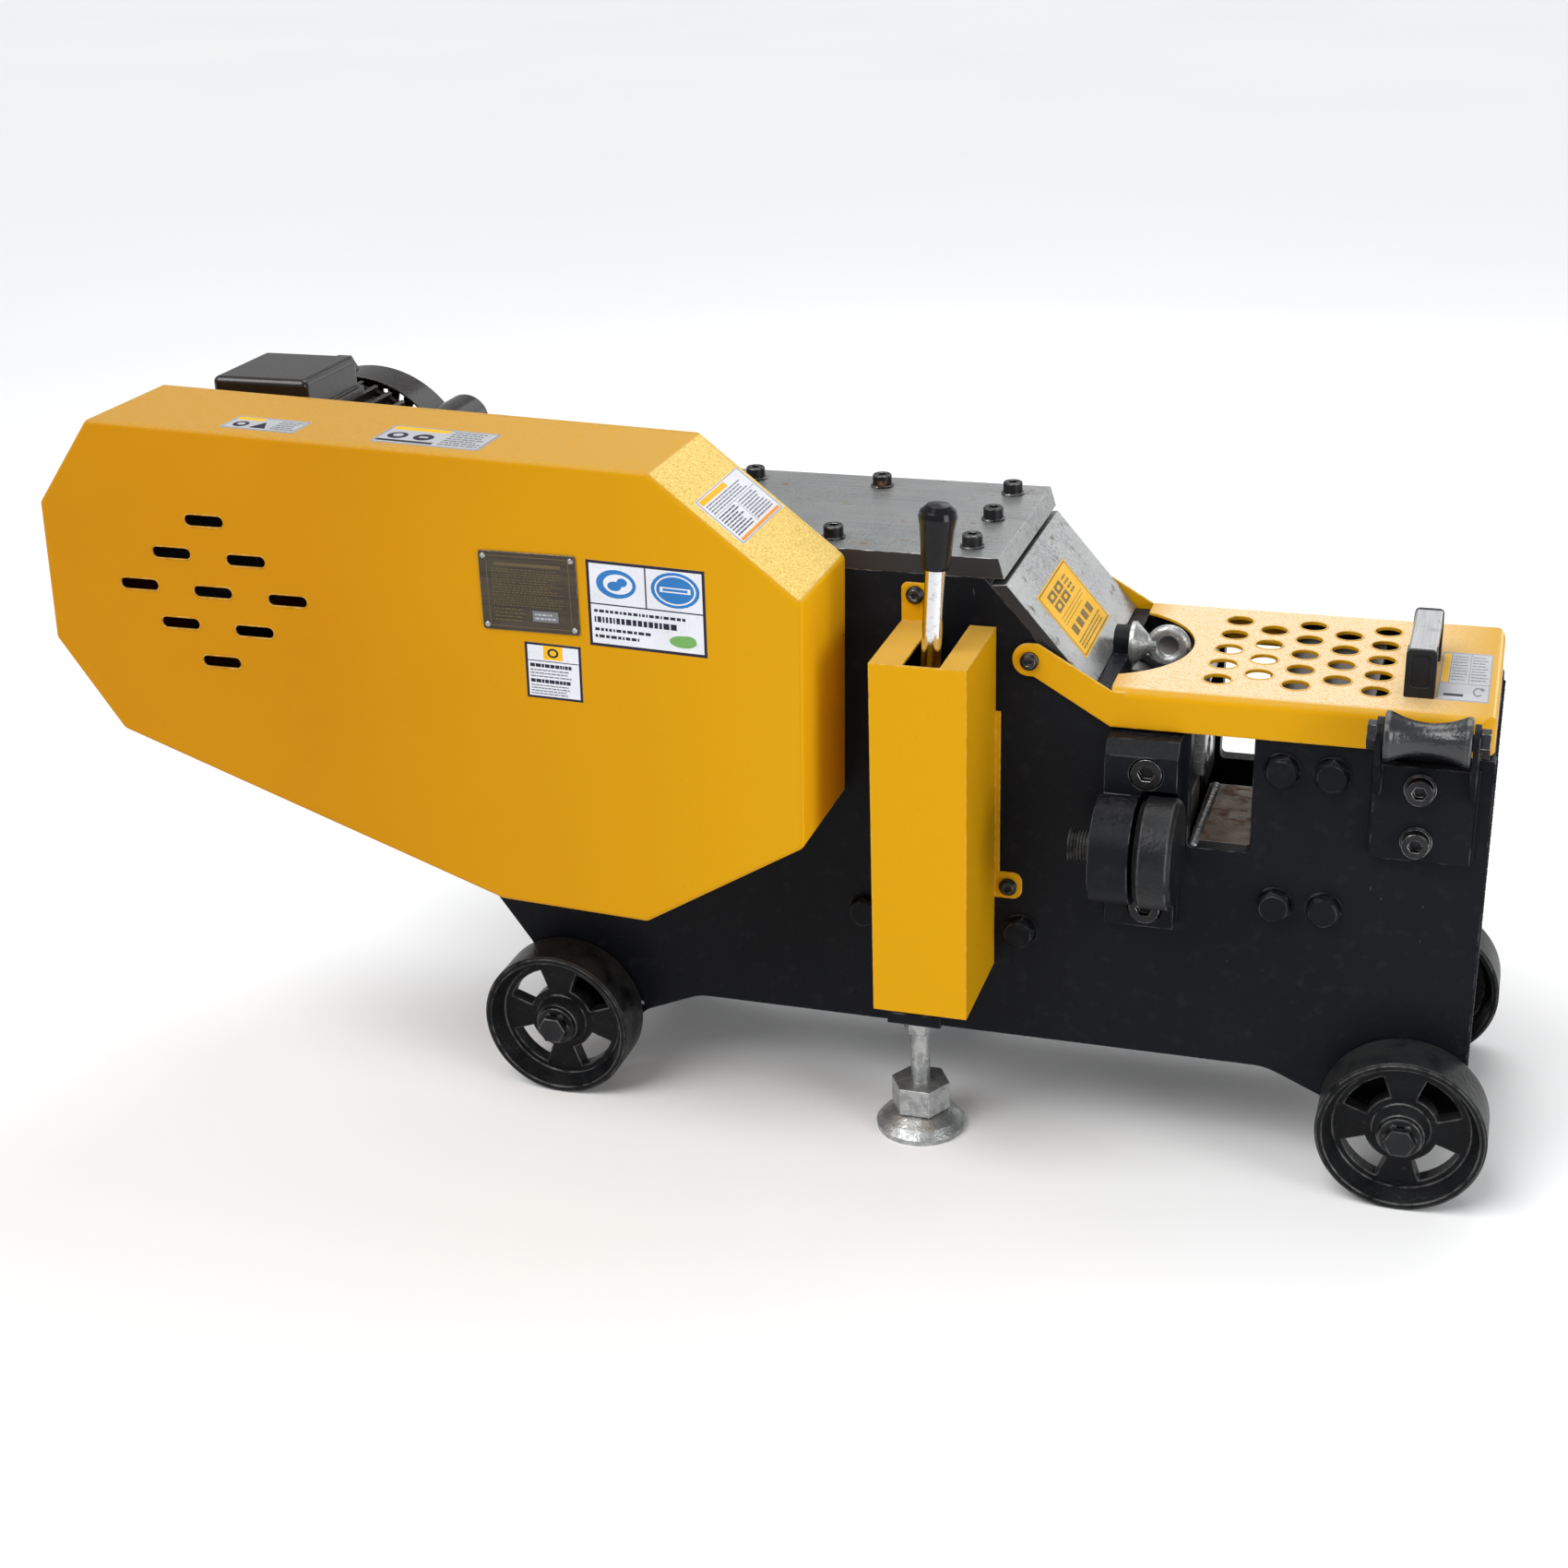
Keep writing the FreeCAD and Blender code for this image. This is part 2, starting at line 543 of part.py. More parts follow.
def lever_parts():
    bush = ring_x(LEVER_Y, LEVER_Z, 6 + FIT, 13, LEVER_X - 14, LEVER_X + 14)
    direction = V(math.sin(LEVER_LEAN), 0, math.cos(LEVER_LEAN))
    start = V(LEVER_X, LEVER_Y, LEVER_Z + 9)
    stem = Part.makeCylinder(9.5, 640 - start.z + 18, start, direction)
    stem = stem.cut(rod_x(LEVER_Y, LEVER_Z, 6 + FIT, LEVER_X - 30, LEVER_X + 30))
    save("clutch_lever", fuse([bush, stem]))
    top = start + direction * (640 - start.z)
    profile = [(0, 9.5 + FIT), (0, 12.5), (3, 13.5), (40, 16.5), (50, 18.5), (56, 17), (61, 11), (62, 0),
               (19, 0), (19, 9.5 + FIT)]
    points = [top + direction * a + V(0, 1, 0) * r for a, r in profile]
    knob = Part.Face(Part.makePolygon(points + [points[0]])).revolve(top, direction, 360)
    save("lever_knob", knob)
    save("shift_fork", shift_fork(start, direction))


def shift_fork(start, direction):
    """Fork clamped round the lever's stem; its two pads run in the sleeve's groove."""
    z0, z1 = LEVER_Z + 14, LEVER_Z + 24
    bar = block(CRANK_X - 43, CRANK_X + 43, LEVER_Y - 5, LEVER_Y + 5, z0, z1)
    clamp = block(LEVER_X - 17, LEVER_X + 17, LEVER_Y - 15, LEVER_Y + 15, z0, z1)
    pieces = [bar, clamp]
    for side in (-1, 1):
        post_x = sorted((CRANK_X + side * 37, CRANK_X + side * 43))
        pad_x = sorted((CRANK_X + side * 30.5, CRANK_X + side * 38))
        pieces.append(block(post_x[0], post_x[1], LEVER_Y - 5, LEVER_Y + 5, z0, CRANK_Z + 9))
        pieces.append(block(post_x[0], post_x[1], LEVER_Y, -165, CRANK_Z - 9, CRANK_Z + 9))
        pieces.append(block(pad_x[0], pad_x[1], -171.5, -165, CRANK_Z - 7, CRANK_Z + 7))
    return fuse(pieces).cut(Part.makeCylinder(9.5 + FIT, 200, start, direction))


def lever_pivot():
    """Bracket on the side plate and the pin on which the lever turns."""
    cheeks = []
    for x0 in (LEVER_X - 34, LEVER_X + 28):
        cheek = prism_x([(-BODY_HALF - GAP, LEVER_Z - 24), (LEVER_Y - 14, LEVER_Z - 14, 12),
                         (LEVER_Y - 14, LEVER_Z + 12, 12), (-190, LEVER_Z + 12),
                         (-BODY_HALF - GAP, LEVER_Z - 4)], x0, x0 + 6)
        cheeks.append(cheek)
    back = block(LEVER_X - 34, LEVER_X + 34, -BODY_HALF - 6, -BODY_HALF - GAP, LEVER_Z - 60, LEVER_Z - 4)
    bracket = fuse(cheeks + [back]).cut(rod_x(LEVER_Y, LEVER_Z, 6 + FIT, -60, 40))
    pin = rod_x(LEVER_Y, LEVER_Z, 6, LEVER_X - 36, LEVER_X + 36)
    save("lever_bracket", bracket, pin)


def lever_box():
    """Five-sided sheet cover over the clutch, slotted at the top for the lever."""
    t = 2.5
    outer = block(BOX_X0, BOX_X1, BOX_Y, -BODY_HALF - 2, BOX_Z0, BOX_Z1)
    inner = block(BOX_X0 + t, BOX_X1 - t, BOX_Y + t, -BODY_HALF, BOX_Z0 + t, BOX_Z1 - t)
    slot = block(-22, 14, BOX_Y + t, -BODY_HALF, BOX_Z1 - t - 1, BOX_Z1 + 5)
    tab_top = prism_y([(BOX_X0, BOX_Z1 - t), (-24, BOX_Z1 - t), (-24, 596, 6), (BOX_X0, 596, 6)],
                      -BODY_HALF - 2 - GAP, -BODY_HALF - GAP)
    tab_side = prism_y([(BOX_X1 - t, 268), (68, 268, 10), (68, 297, 10), (BOX_X1 - t, 297)],
                       -BODY_HALF - 2 - GAP, -BODY_HALF - GAP)
    lip = block(BOX_X1 - t, BOX_X1 + 5, -BODY_HALF - 2 - GAP, -BODY_HALF - GAP, 297, 470)
    shell = fuse([outer.cut(inner), tab_top, tab_side, lip])
    shell = cut(shell, [slot, rod_y(54, 281, 5.5, -140, -110), rod_y(-40, 584, 5.5, -140, -110)])
    save("lever_box", shell)


def lever_box_bolts():
    bolts = []
    for x, z in ((54, 281), (-40, 584)):
        face = -BODY_HALF - 2 - GAP
        head = revolve([(face, 0), (face, 9), (face - 3, 9), (face - 6, 6), (face - 6, 0)],
                       V(x, 0, z), V(0, 1, 0)).cut(hex_along("y", x, z, 7, face - 7, face - 2.5))
        bolts.append(fuse([head, rod_y(x, z, 5, -BODY_HALF - 3, -INNER_HALF - 4)]))
    return bolts


# ---- belt drive -------------------------------------------------------------------
def groove_tools(x, z, radius):
    tools = []
    for i in range(BELT_COUNT):
        y = BELT_Y + (i - 1) * BELT_PITCH
        profile = [(y - 8.9, radius + 1), (y - 3.8, radius - 14), (y + 3.8, radius - 14),
                   (y + 8.9, radius + 1)]
        tools.append(revolve(profile, V(x, 0, z), V(0, 1, 0)))
    return tools


def flywheel():
    """Heavy three-groove pulley with a dished web and round lightening holes."""
    profile = [(-251, 20 + FIT), (-251, 42), (-222, 48), (-222, 164), (-246, 168), (-246, FLYWHEEL_R),
               (-179, FLYWHEEL_R), (-179, 168), (-204, 164), (-204, 48), (-172 - GAP, 42),
               (-172 - GAP, 20 + FIT)]
    wheel = revolve(profile, V(DRIVE_X, 0, DRIVE_Z), V(0, 1, 0))
    holes = [rod_y(DRIVE_X + 106 * math.cos(math.radians(a)), DRIVE_Z + 106 * math.sin(math.radians(a)),
                   30, -230, -200) for a in range(0, 360, 60)]
    save("flywheel_pulley", cut(wheel, groove_tools(DRIVE_X, DRIVE_Z, FLYWHEEL_R) + holes))


def motor_pulley():
    profile = [(-246, 14 + FIT), (-246, MOTOR_PULLEY_R), (-179, MOTOR_PULLEY_R), (-179, 30),
               (-172, 30), (-172, 14 + FIT)]
    wheel = revolve(profile, V(MOTOR_X, 0, MOTOR_Z), V(0, 1, 0))
    save("motor_pulley", cut(wheel, groove_tools(MOTOR_X, MOTOR_Z, MOTOR_PULLEY_R)))


def belt_section(y, r_pulley):
    return [(y - 7.6, r_pulley - 1.4), (y - 3.9, r_pulley - 11.6), (y + 3.9, r_pulley - 11.6),
            (y + 7.6, r_pulley - 1.4)]


def belts():
    """Three V-belts: two arcs round the pulleys and two straight runs each."""
    span_x = DRIVE_X - MOTOR_X
    span_z = DRIVE_Z - MOTOR_Z
    span = math.hypot(span_x, span_z)
    heading = math.atan2(span_z, span_x)
    flare = math.asin((FLYWHEEL_R - MOTOR_PULLEY_R) / span)
    solids = []
    for i in range(BELT_COUNT):
        y = BELT_Y + (i - 1) * BELT_PITCH
        pieces = []
        for side in (1, -1):
            normal_angle = heading + side * (math.pi / 2 + flare)
            normal = V(math.cos(normal_angle), 0, math.sin(normal_angle))
            start = V(MOTOR_X, 0, MOTOR_Z)
            end = V(DRIVE_X, 0, DRIVE_Z)
            corners = [start + normal * r + V(0, yy, 0) for yy, r in belt_section(y, MOTOR_PULLEY_R)]
            run = (end + normal * FLYWHEEL_R) - (start + normal * MOTOR_PULLEY_R)
            face = Part.Face(Part.makePolygon(corners + [corners[0]]))
            pieces.append(face.extrude(run))
        for centre, radius, first, sweep in (
                (V(MOTOR_X, 0, MOTOR_Z), MOTOR_PULLEY_R, heading + math.pi / 2 + flare,
                 math.pi - 2 * flare),
                (V(DRIVE_X, 0, DRIVE_Z), FLYWHEEL_R, heading - math.pi / 2 - flare,
                 math.pi + 2 * flare)):
            normal = V(math.cos(first), 0, math.sin(first))
            corners = [centre + normal * r + V(0, yy, 0) for yy, r in belt_section(y, radius)]
            face = Part.Face(Part.makePolygon(corners + [corners[0]]))
            pieces.append(face.revolve(centre, V(0, -1, 0), math.degrees(sweep)))
        solids.append(fuse(pieces))
    save("drive_belts", *solids)


def belt_guard_outline():
    return [(-846, 753, 8), (-256, 733, 8), (-111, 618, 8), (-116, 368, 8), (-282, 269, 8),
            (-438, 276, 8), (-854, 424, 8), (-919, 520, 8), (-913, 665, 8)]


def vent_places():
    """Centres of the vent slots: rows of 1, 2, 3, 2 and 1, which make a diamond."""
    centre_x, centre_z, pitch_x, pitch_z = -726.5, 583.0, 83.0, 37.0
    places = []
    for row, count in enumerate((1, 2, 3, 2, 1)):
        for i in range(count):
            x = centre_x + (i - (count - 1) / 2) * pitch_x
            z = centre_z + (2 - row) * pitch_z - 0.035 * (x - centre_x)
            places.append((x, z))
    return places


def belt_guard():
    outer = prism_y(belt_guard_outline(), GUARD_Y, GUARD_BACK)
    near_edges = [e for e in outer.Edges if abs(e.BoundBox.YMax - GUARD_Y) < 0.01]
    outer = outer.makeFillet(5.0, near_edges)
    inner = inset_prism_y(belt_guard_outline(), GUARD_T, GUARD_Y + GUARD_T, GUARD_BACK + 1)
    vents = []
    for x, z in vent_places():
        slot = [(x - 22, z - 6, 5.9), (x + 22, z - 6, 5.9), (x + 22, z + 6, 5.9), (x - 22, z + 6, 5.9)]
        vents.append(prism_y(slot, GUARD_Y - 1, GUARD_Y + GUARD_T + 1))
    save("belt_guard", cut(outer.cut(inner), vents))
    back = prism_y(belt_guard_outline(), GUARD_BACK + GAP, -BODY_HALF - GAP)
    back = cut(back, [rod_y(DRIVE_X, DRIVE_Z, 70, -140, -110), rod_y(MOTOR_X, MOTOR_Z, 70, -140, -110),
                      rod_y(COUNTER_X, COUNTER_Z, 26, -140, -110)])
    save("belt_guard_back", back)


def nameplate():
    x0, x1, z0, z1 = -432, -332, 569, 648
    y0 = GUARD_Y - 1.2
    plate = prism_y([(x0, z0, 3), (x1, z0, 3), (x1, z1, 3), (x0, z1, 3)], y0, GUARD_Y)
    plate = cut(plate, [rod_y(x, z, 1.6 + FIT, y0 - 1, GUARD_Y + 1)
                        for x in (x0 + 5, x1 - 5) for z in (z0 + 5, z1 - 5)])
    rivets = []
    for x in (x0 + 5, x1 - 5):
        for z in (z0 + 5, z1 - 5):
            rivets.append(revolve([(y0 - 1.4, 0), (y0 - 1.2, 1.6), (y0 - 0.5, 2.6), (y0, 2.8), (y0, 1.6),
                                   (GUARD_Y, 1.6), (GUARD_Y, 0)], V(x, 0, z), V(0, 1, 0)))
    save("nameplate", plate, *rivets)


# ---- motor ----------------------------------------------------------------------
MOTOR_Y0, MOTOR_Y1 = -90.0, 90.0
MOTOR_R = 112.0


def motor_housing():
    core = rod_y(MOTOR_X, MOTOR_Z, 100, MOTOR_Y0, MOTOR_Y1)
    fins = []
    count = 40
    for i in range(count):
        a = 360.0 * i / count
        fin = block(MOTOR_X + 96, MOTOR_X + MOTOR_R, MOTOR_Y0 + 2, MOTOR_Y1 - 2, MOTOR_Z - 2, MOTOR_Z + 2)
        fin.rotate(V(MOTOR_X, 0, MOTOR_Z), V(0, 1, 0), a)
        fins.append(fin)
    foot_z = MOTOR_Z - 112
    feet = []
    for side in (-1, 1):
        xs = sorted((MOTOR_X + side * 55, MOTOR_X + side * 112))
        feet.append(block(xs[0], xs[1], -72, 72, foot_z, foot_z + 12))
        rib_x = sorted((MOTOR_X + side * 55, MOTOR_X + side * 72))
        feet.append(block(rib_x[0], rib_x[1], -66, 66, foot_z, MOTOR_Z - 60))
    pad = block(MOTOR_X - 58, MOTOR_X + 42, -88, 24, MOTOR_Z + 90, MOTOR_Z + 113)
    body = fuse([core] + fins + feet + [pad])
    holes = [rod_z(x, y, 6 + FIT, foot_z - 1, foot_z + 14) for x, y in motor_bolt_places()]
    inside = rod_y(MOTOR_X, MOTOR_Z, 88, MOTOR_Y0 - 1, MOTOR_Y1 + 1)
    stator = ring_y(MOTOR_X, MOTOR_Z, 59, 88 - FIT, -66, 66)
    save("motor_housing", cut(body, holes + [inside]), stator)


def motor_bolt_places():
    return [(MOTOR_X + sx * 95, sy * 60) for sx in (-1, 1) for sy in (-1, 1)]


def motor_ends():
    near = revolve([(MOTOR_Y0, 0), (MOTOR_Y0, 104), (MOTOR_Y0 - 8, 106), (MOTOR_Y0 - 14, 98),
                    (MOTOR_Y0 - 22, 60), (MOTOR_Y0 - 26, 40), (MOTOR_Y0 - 26, 0)],
                   V(MOTOR_X, 0, MOTOR_Z), V(0, 1, 0))
    near = near.cut(rod_y(MOTOR_X, MOTOR_Z, 14 + FIT, -130, -80))
    far = revolve([(MOTOR_Y1, 0), (MOTOR_Y1, 104), (MOTOR_Y1 + 8, 104), (MOTOR_Y1 + 16, 60),
                   (MOTOR_Y1 + 16, 0)], V(MOTOR_X, 0, MOTOR_Z), V(0, 1, 0))
    far = far.cut(rod_y(MOTOR_X, MOTOR_Z, 14 + FIT, 80, 120))
    save("motor_end_shields", near, far)


def motor_rotor():
    shaft = rod_y(MOTOR_X, MOTOR_Z, 14, -250, 138)
    core = rod_y(MOTOR_X, MOTOR_Z, 58, -62, 62)
    blades_ = []
    for i in range(7):
        blade = block(MOTOR_X - 1.5, MOTOR_X + 1.5, 114, 138, MOTOR_Z + 18, MOTOR_Z + 88)
        blade.rotate(V(MOTOR_X, 0, MOTOR_Z), V(0, 1, 0), 360.0 * i / 7)
        blades_.append(blade)
    hub = rod_y(MOTOR_X, MOTOR_Z, 22, 112, 138)
    disc = rod_y(MOTOR_X, MOTOR_Z, 88, 110, 114)
    fan = fuse([hub, disc] + blades_).cut(rod_y(MOTOR_X, MOTOR_Z, 14 + FIT, 100, 150))
    save("motor_rotor", fuse([shaft, core]), fan)


def fan_cover():
    """Domed sheet cover with rings of slots in its end."""
    outer = [(99, 0), (99, 113), (150, 113), (166, 104), (174, 90), (178, 60), (180, 0)]
    inner = [(98, 0), (98, 111), (149, 111), (164.5, 102.5), (172, 89), (176, 60), (178, 0)]
    centre = V(MOTOR_X, 0, MOTOR_Z)
    shell = revolve(outer, centre, V(0, 1, 0)).cut(revolve(inner, centre, V(0, 1, 0)))
    slots = []
    for radius, count in ((26, 8), (48, 16), (72, 24)):
        for i in range(count):
            slot = block(MOTOR_X - 3, MOTOR_X + 3, 160, 190, MOTOR_Z + radius - 8, MOTOR_Z + radius + 8)
            slot.rotate(centre, V(0, 1, 0), 360.0 * i / count)
            slots.append(slot)
    save("fan_cover", cut(shell, slots))


def terminal_box():
    x0, x1, y0, y1 = MOTOR_X - 63, MOTOR_X + 47, -90, 26
    base_z = MOTOR_Z + 113
    flange = prism_z([(x0 - 6, y0 - 2, 8), (x1 + 6, y0 - 2, 8), (x1 + 6, y1 + 4, 8), (x0 - 6, y1 + 4, 8)],
                     base_z, base_z + 9)
    lid = Part.makeBox(x1 - x0, y1 - y0, 33, V(x0, y0, base_z + 9))
    lid = lid.makeFillet(7.0, [e for e in lid.Edges if e.BoundBox.ZMax > base_z + 20])
    gland = fuse([rod_y(MOTOR_X + 20, base_z + 22, 11, y1, y1 + 10),
                  hex_along("y", MOTOR_X + 20, base_z + 22, 27, y1 + 10, y1 + 24)])
    save("terminal_box", fuse([flange, gland]), lid)


def capacitor_cover():
    """Rounded housing on the motor's shoulder, between it and the gear case."""
    centre_x, centre_z, r = MOTOR_X + 115, MOTOR_Z + 60, 27
    hump = rod_y(centre_x, centre_z, r, 24, 148)
    hump = hump.makeFillet(8.0, hump.Edges)
    angle = math.atan2(60, 115)
    saddle = block(MOTOR_X + 104, MOTOR_X + 126, 30, 86, MOTOR_Z - 22, MOTOR_Z + 22)
    saddle.rotate(V(MOTOR_X, 0, MOTOR_Z), V(0, 1, 0), -math.degrees(angle))
    rooms = [rod_y(MOTOR_X, MOTOR_Z, MOTOR_R + GAP, 0, 160), rod_y(MOTOR_X, MOTOR_Z, 113 + GAP, 92, 160)]
    save("capacitor_cover", cut(fuse([hump, saddle]), rooms))


def motor_base():
    z1 = MOTOR_Z - 112
    rails = []
    for y0 in (-100, 38):
        rail = block(-862, -618, y0, y0 + 60, TRAY_Z, z1)
        slots = [prism_z([(x - 22, y0 + 20 + dy, 5.9), (x + 22, y0 + 20 + dy, 5.9),
                          (x + 22, y0 + 32 + dy, 5.9), (x - 22, y0 + 32 + dy, 5.9)], TRAY_Z - 1, z1 + 1)
                 for x, dy in ((MOTOR_X - 95, 14 if y0 < 0 else -4), (MOTOR_X + 95, 14 if y0 < 0 else -4))]
        rails.append(cut(rail, slots))
    save("motor_rails", *rails)
    bolts = []
    for x, y in motor_bolt_places():
        head = hex_along("z", x, y, 18, z1 + 12, z1 + 20)
        bolts.append(fuse([head, rod_z(x, y, 5.5, TRAY_Z, z1 + 12)]))
    save("motor_bolts", *bolts)


# ---- blade guard --------------------------------------------------------------------
def lid_solid(inset):
    """Tray shape of the blade guard, closed at the front, open below and behind."""
    half = LID_HALF - inset
    top = LID_Z - inset
    front = LID_X1 - inset
    bottom = LID_SKIRT_Z - (0 if inset == 0 else 10)
    rear = LID_X0 - (0 if inset == 0 else 10)
    r = 10 - inset
    across = prism_x([(-half, bottom), (half, bottom), (half, top, r), (-half, top, r)], rear, front)
    along = prism_y([(rear, bottom), (front, bottom), (front, top, r), (rear, top)], -half, half)
    plan = prism_z([(rear, -half), (front, -half, 22 - inset), (front, half, 22 - inset), (rear, half)],
                   bottom, top)
    return across.common(along).common(plan)


def guard_holes():
    """Staggered columns of five and four round holes."""
    holes = []
    for column in range(5):
        x = 248 + 37.0 * column
        count = 5 if column % 2 == 0 else 4
        for i in range(count):
            holes.append(rod_z(x, (i - (count - 1) / 2) * 42.5, 13.3, LID_Z - 10, LID_Z + 5))
    return holes


def blade_guard():
    shell = lid_solid(0).cut(lid_solid(LID_T))
    notch = rod_z(112, 0, 101, LID_Z - 12, LID_Z + 5)
    shell = cut(shell, guard_holes() + [notch])
    arms = []
    for side in (-1, 1):
        ys = sorted((side * LID_HALF, side * (LID_HALF - LID_T)))
        arm = prism_y([(LID_X0 + 14, LID_SKIRT_Z), (LID_X0 + 14, LID_Z - 4), (LID_X0, LID_Z - 4),
                       (PIVOT_X + 8, PIVOT_Z + 17, 4), (PIVOT_X - 17, PIVOT_Z + 17, 16),
                       (PIVOT_X - 17, PIVOT_Z - 16, 16), (PIVOT_X + 4, PIVOT_Z - 16),
                       (LID_X0, LID_SKIRT_Z)], ys[0], ys[1])
        arms.append(arm)
    hinge = rod_y(PIVOT_X, PIVOT_Z, PIVOT_R + FIT, -140, 140)
    save("blade_guard", fuse([shell] + arms).cut(hinge))


def guard_pivot_bolts():
    bolts = []
    for side in (-1, 1):
        head = revolve([(LID_HALF + GAP, 0), (LID_HALF + GAP, 9), (LID_HALF + 4, 9), (LID_HALF + 6.5, 6),
                        (LID_HALF + 6.5, 0)], V(PIVOT_X, 0, PIVOT_Z), V(0, 1, 0))
        head = head.cut(hex_along("y", PIVOT_X, PIVOT_Z, 7, LID_HALF + 3, LID_HALF + 7))
        shank = rod_y(PIVOT_X, PIVOT_Z, PIVOT_R, INNER_HALF, LID_HALF + 1)
        bolt = fuse([head, shank])
        bolts.append(bolt if side > 0 else mirrored(bolt))
    return bolts


HANDLE_X0, HANDLE_X1, HANDLE_Y0, HANDLE_Y1, HANDLE_H = 422.0, 450.0, -92.0, 30.0, 47.0


def guard_handle():
    top = LID_Z + HANDLE_H
    bar = prism_y([(HANDLE_X0 + 1, top - 15, 4), (HANDLE_X1 - 1, top - 15, 4),
                   (HANDLE_X1 - 1, top, 3), (HANDLE_X0 + 1, top, 3)], HANDLE_Y0 + 4, HANDLE_Y1 - 4)
    ends = []
    for y0, y1, face in ((HANDLE_Y0, HANDLE_Y0 + 20, -1), (HANDLE_Y1 - 20, HANDLE_Y1, 1)):
        leg = prism_y([(HANDLE_X0, LID_Z, 2), (HANDLE_X1, LID_Z, 2), (HANDLE_X1, top + 0.5, 5),
                       (HANDLE_X0, top + 0.5, 5)], y0, y1)
        panel_y = (y0 - 1, y0 + 1.5) if face < 0 else (y1 - 1.5, y1 + 1)
        panel = prism_y([(HANDLE_X0 + 5, LID_Z + 10, 4), (HANDLE_X1 - 5, LID_Z + 10, 4),
                         (HANDLE_X1 - 5, top - 5, 4), (HANDLE_X0 + 5, top - 5, 4)], *panel_y)
        socket_y = (y0 + 4, y1 + 1) if face < 0 else (y0 - 1, y1 - 4)
        socket = prism_y([(HANDLE_X0 + 0.9, top - 15.1, 4), (HANDLE_X1 - 0.9, top - 15.1, 4),
                          (HANDLE_X1 - 0.9, top + 2), (HANDLE_X0 + 0.9, top + 2)], *socket_y)
        ends.append(cut(leg, [panel, socket]))
    save("guard_handle_bar", bar)
    save("guard_handle_ends", *ends)


# ---- bar stop -------------------------------------------------------------------------
def stop_bolt_places():
    return [(194, 432), (194, 281)]


def bar_stop():
    """Bracket bolted to the side plate; its lug holds the screw of the stop disc."""
    face = -BODY_HALF
    upper = prism_x([(face, 402), (-160, 402), (-160, 449), (-147, 462), (face, 462)], 154, 224)
    lower = block(154, 222, -138, face, 259, 402)
    neck = block(154, 190, -190, face, 316, 402)
    lug = rod_x(STOP_Y, STOP_Z, 52, 152, 190)
    disc_room = rod_x(STOP_Y, STOP_Z, 58, 190, 260)
    holes = [rod_y(x, z, 10 + FIT, -170, -100) for x, z in stop_bolt_places()]
    holes += [rod_y(194, 432, 16.5, -170, -147), rod_y(194, 281, 17.5, -170, -139 + 8)]
    screw_hole = rod_x(STOP_Y, STOP_Z, 16 + FIT, 140, 200)
    bracket = cut(fuse([upper, lower, neck, lug]), [disc_room, screw_hole] + holes)
    save("stop_bracket", bracket)
    screw = rod_x(STOP_Y, STOP_Z, 16, 126, 200)
    grooves = [ring_x(STOP_Y, STOP_Z, 14.4, 18, x, x + 1.5) for x in range(128, 150, 3)]
    disc = revolve([(194, 0), (194, 48), (200, 54), (226, 54), (230, 50), (230, 0)],
                   V(0, STOP_Y, STOP_Z), V(1, 0, 0))
    save("stop_screw", fuse([cut(screw, grooves), disc]))


def stop_bolts():
    bolts = []
    for (x, z), y_head in zip(stop_bolt_places(), (-147, -131)):
        head = rod_y(x, z, 15, y_head - 13, y_head).cut(hex_along("y", x, z, 14, y_head - 14, y_head - 6))
        bolts.append(fuse([head, rod_y(x, z, 10, y_head, -INNER_HALF - 4)]))
    return bolts


# ---- feed roller ------------------------------------------------------------------------
def roller_bolt_places():
    return [(446, 433), (446, 379)]


def feed_roller():
    face = -BODY_HALF
    ear = [(face, 426), (-144, 426, 6), (-182, 474, 10), (-182, 510, 14), (-150, 512, 14),
           (-140, 454, 6), (face, 454)]
    plate = block(404, 496, -136, face, 358, 454)
    bracket = fuse([plate, prism_x(ear, 404, 410), prism_x(ear, 490, 496)])
    bracket = cut(bracket, [rod_x(ROLLER_Y, ROLLER_Z, 8 + FIT, 390, 510)]
                  + [rod_y(x, z, 8 + FIT, -150, -100) for x, z in roller_bolt_places()])
    save("roller_bracket", bracket)
    axle = rod_x(ROLLER_Y, ROLLER_Z, 8, 398, 502)
    nuts = [hex_along("x", ROLLER_Y, ROLLER_Z, 24, 396, 403.9),
            hex_along("x", ROLLER_Y, ROLLER_Z, 24, 496.1, 505)]
    save("roller_axle", fuse([axle] + nuts))
    x0, x1, flange, waist = 411.0, 489.0, 23.5, 15.0
    profile = [(x0, 8 + FIT), (x0, flange - 2), (x0 + 1, flange), (x0 + 4, flange)]
    steps = 14
    for i in range(steps + 1):
        t = i / steps
        sag = 1 - (2 * t - 1) ** 2
        profile.append((x0 + 5 + (x1 - x0 - 10) * t, flange - (flange - waist) * sag))
    profile += [(x1 - 4, flange), (x1 - 1, flange), (x1, flange - 2), (x1, 8 + FIT)]
    save("feed_roller", revolve(profile, V(0, ROLLER_Y, ROLLER_Z), V(1, 0, 0)))


def roller_bolts():
    bolts = []
    for x, z in roller_bolt_places():
        head = rod_y(x, z, 12.5, -149, -136).cut(hex_along("y", x, z, 12, -150, -142))
        washer = rod_y(x, z, 15, -138, -136)
        bolts.append(fuse([head, washer, rod_y(x, z, 8, -136, -INNER_HALF - 4)]))
    return bolts


# ---- wheels and feet ----------------------------------------------------------------------
def web_window(x, z, r_in, r_out, start, sweep):
    points = []
    for i in range(7):
        a = math.radians(start + sweep * i / 6)
        points.append((x + r_out * math.cos(a), z + r_out * math.sin(a)))
    for i in range(7):
        a = math.radians(start + sweep * (6 - i) / 6)
        points.append((x + r_in * math.cos(a), z + r_in * math.sin(a)))
    return prism_y(points, -170, -140)


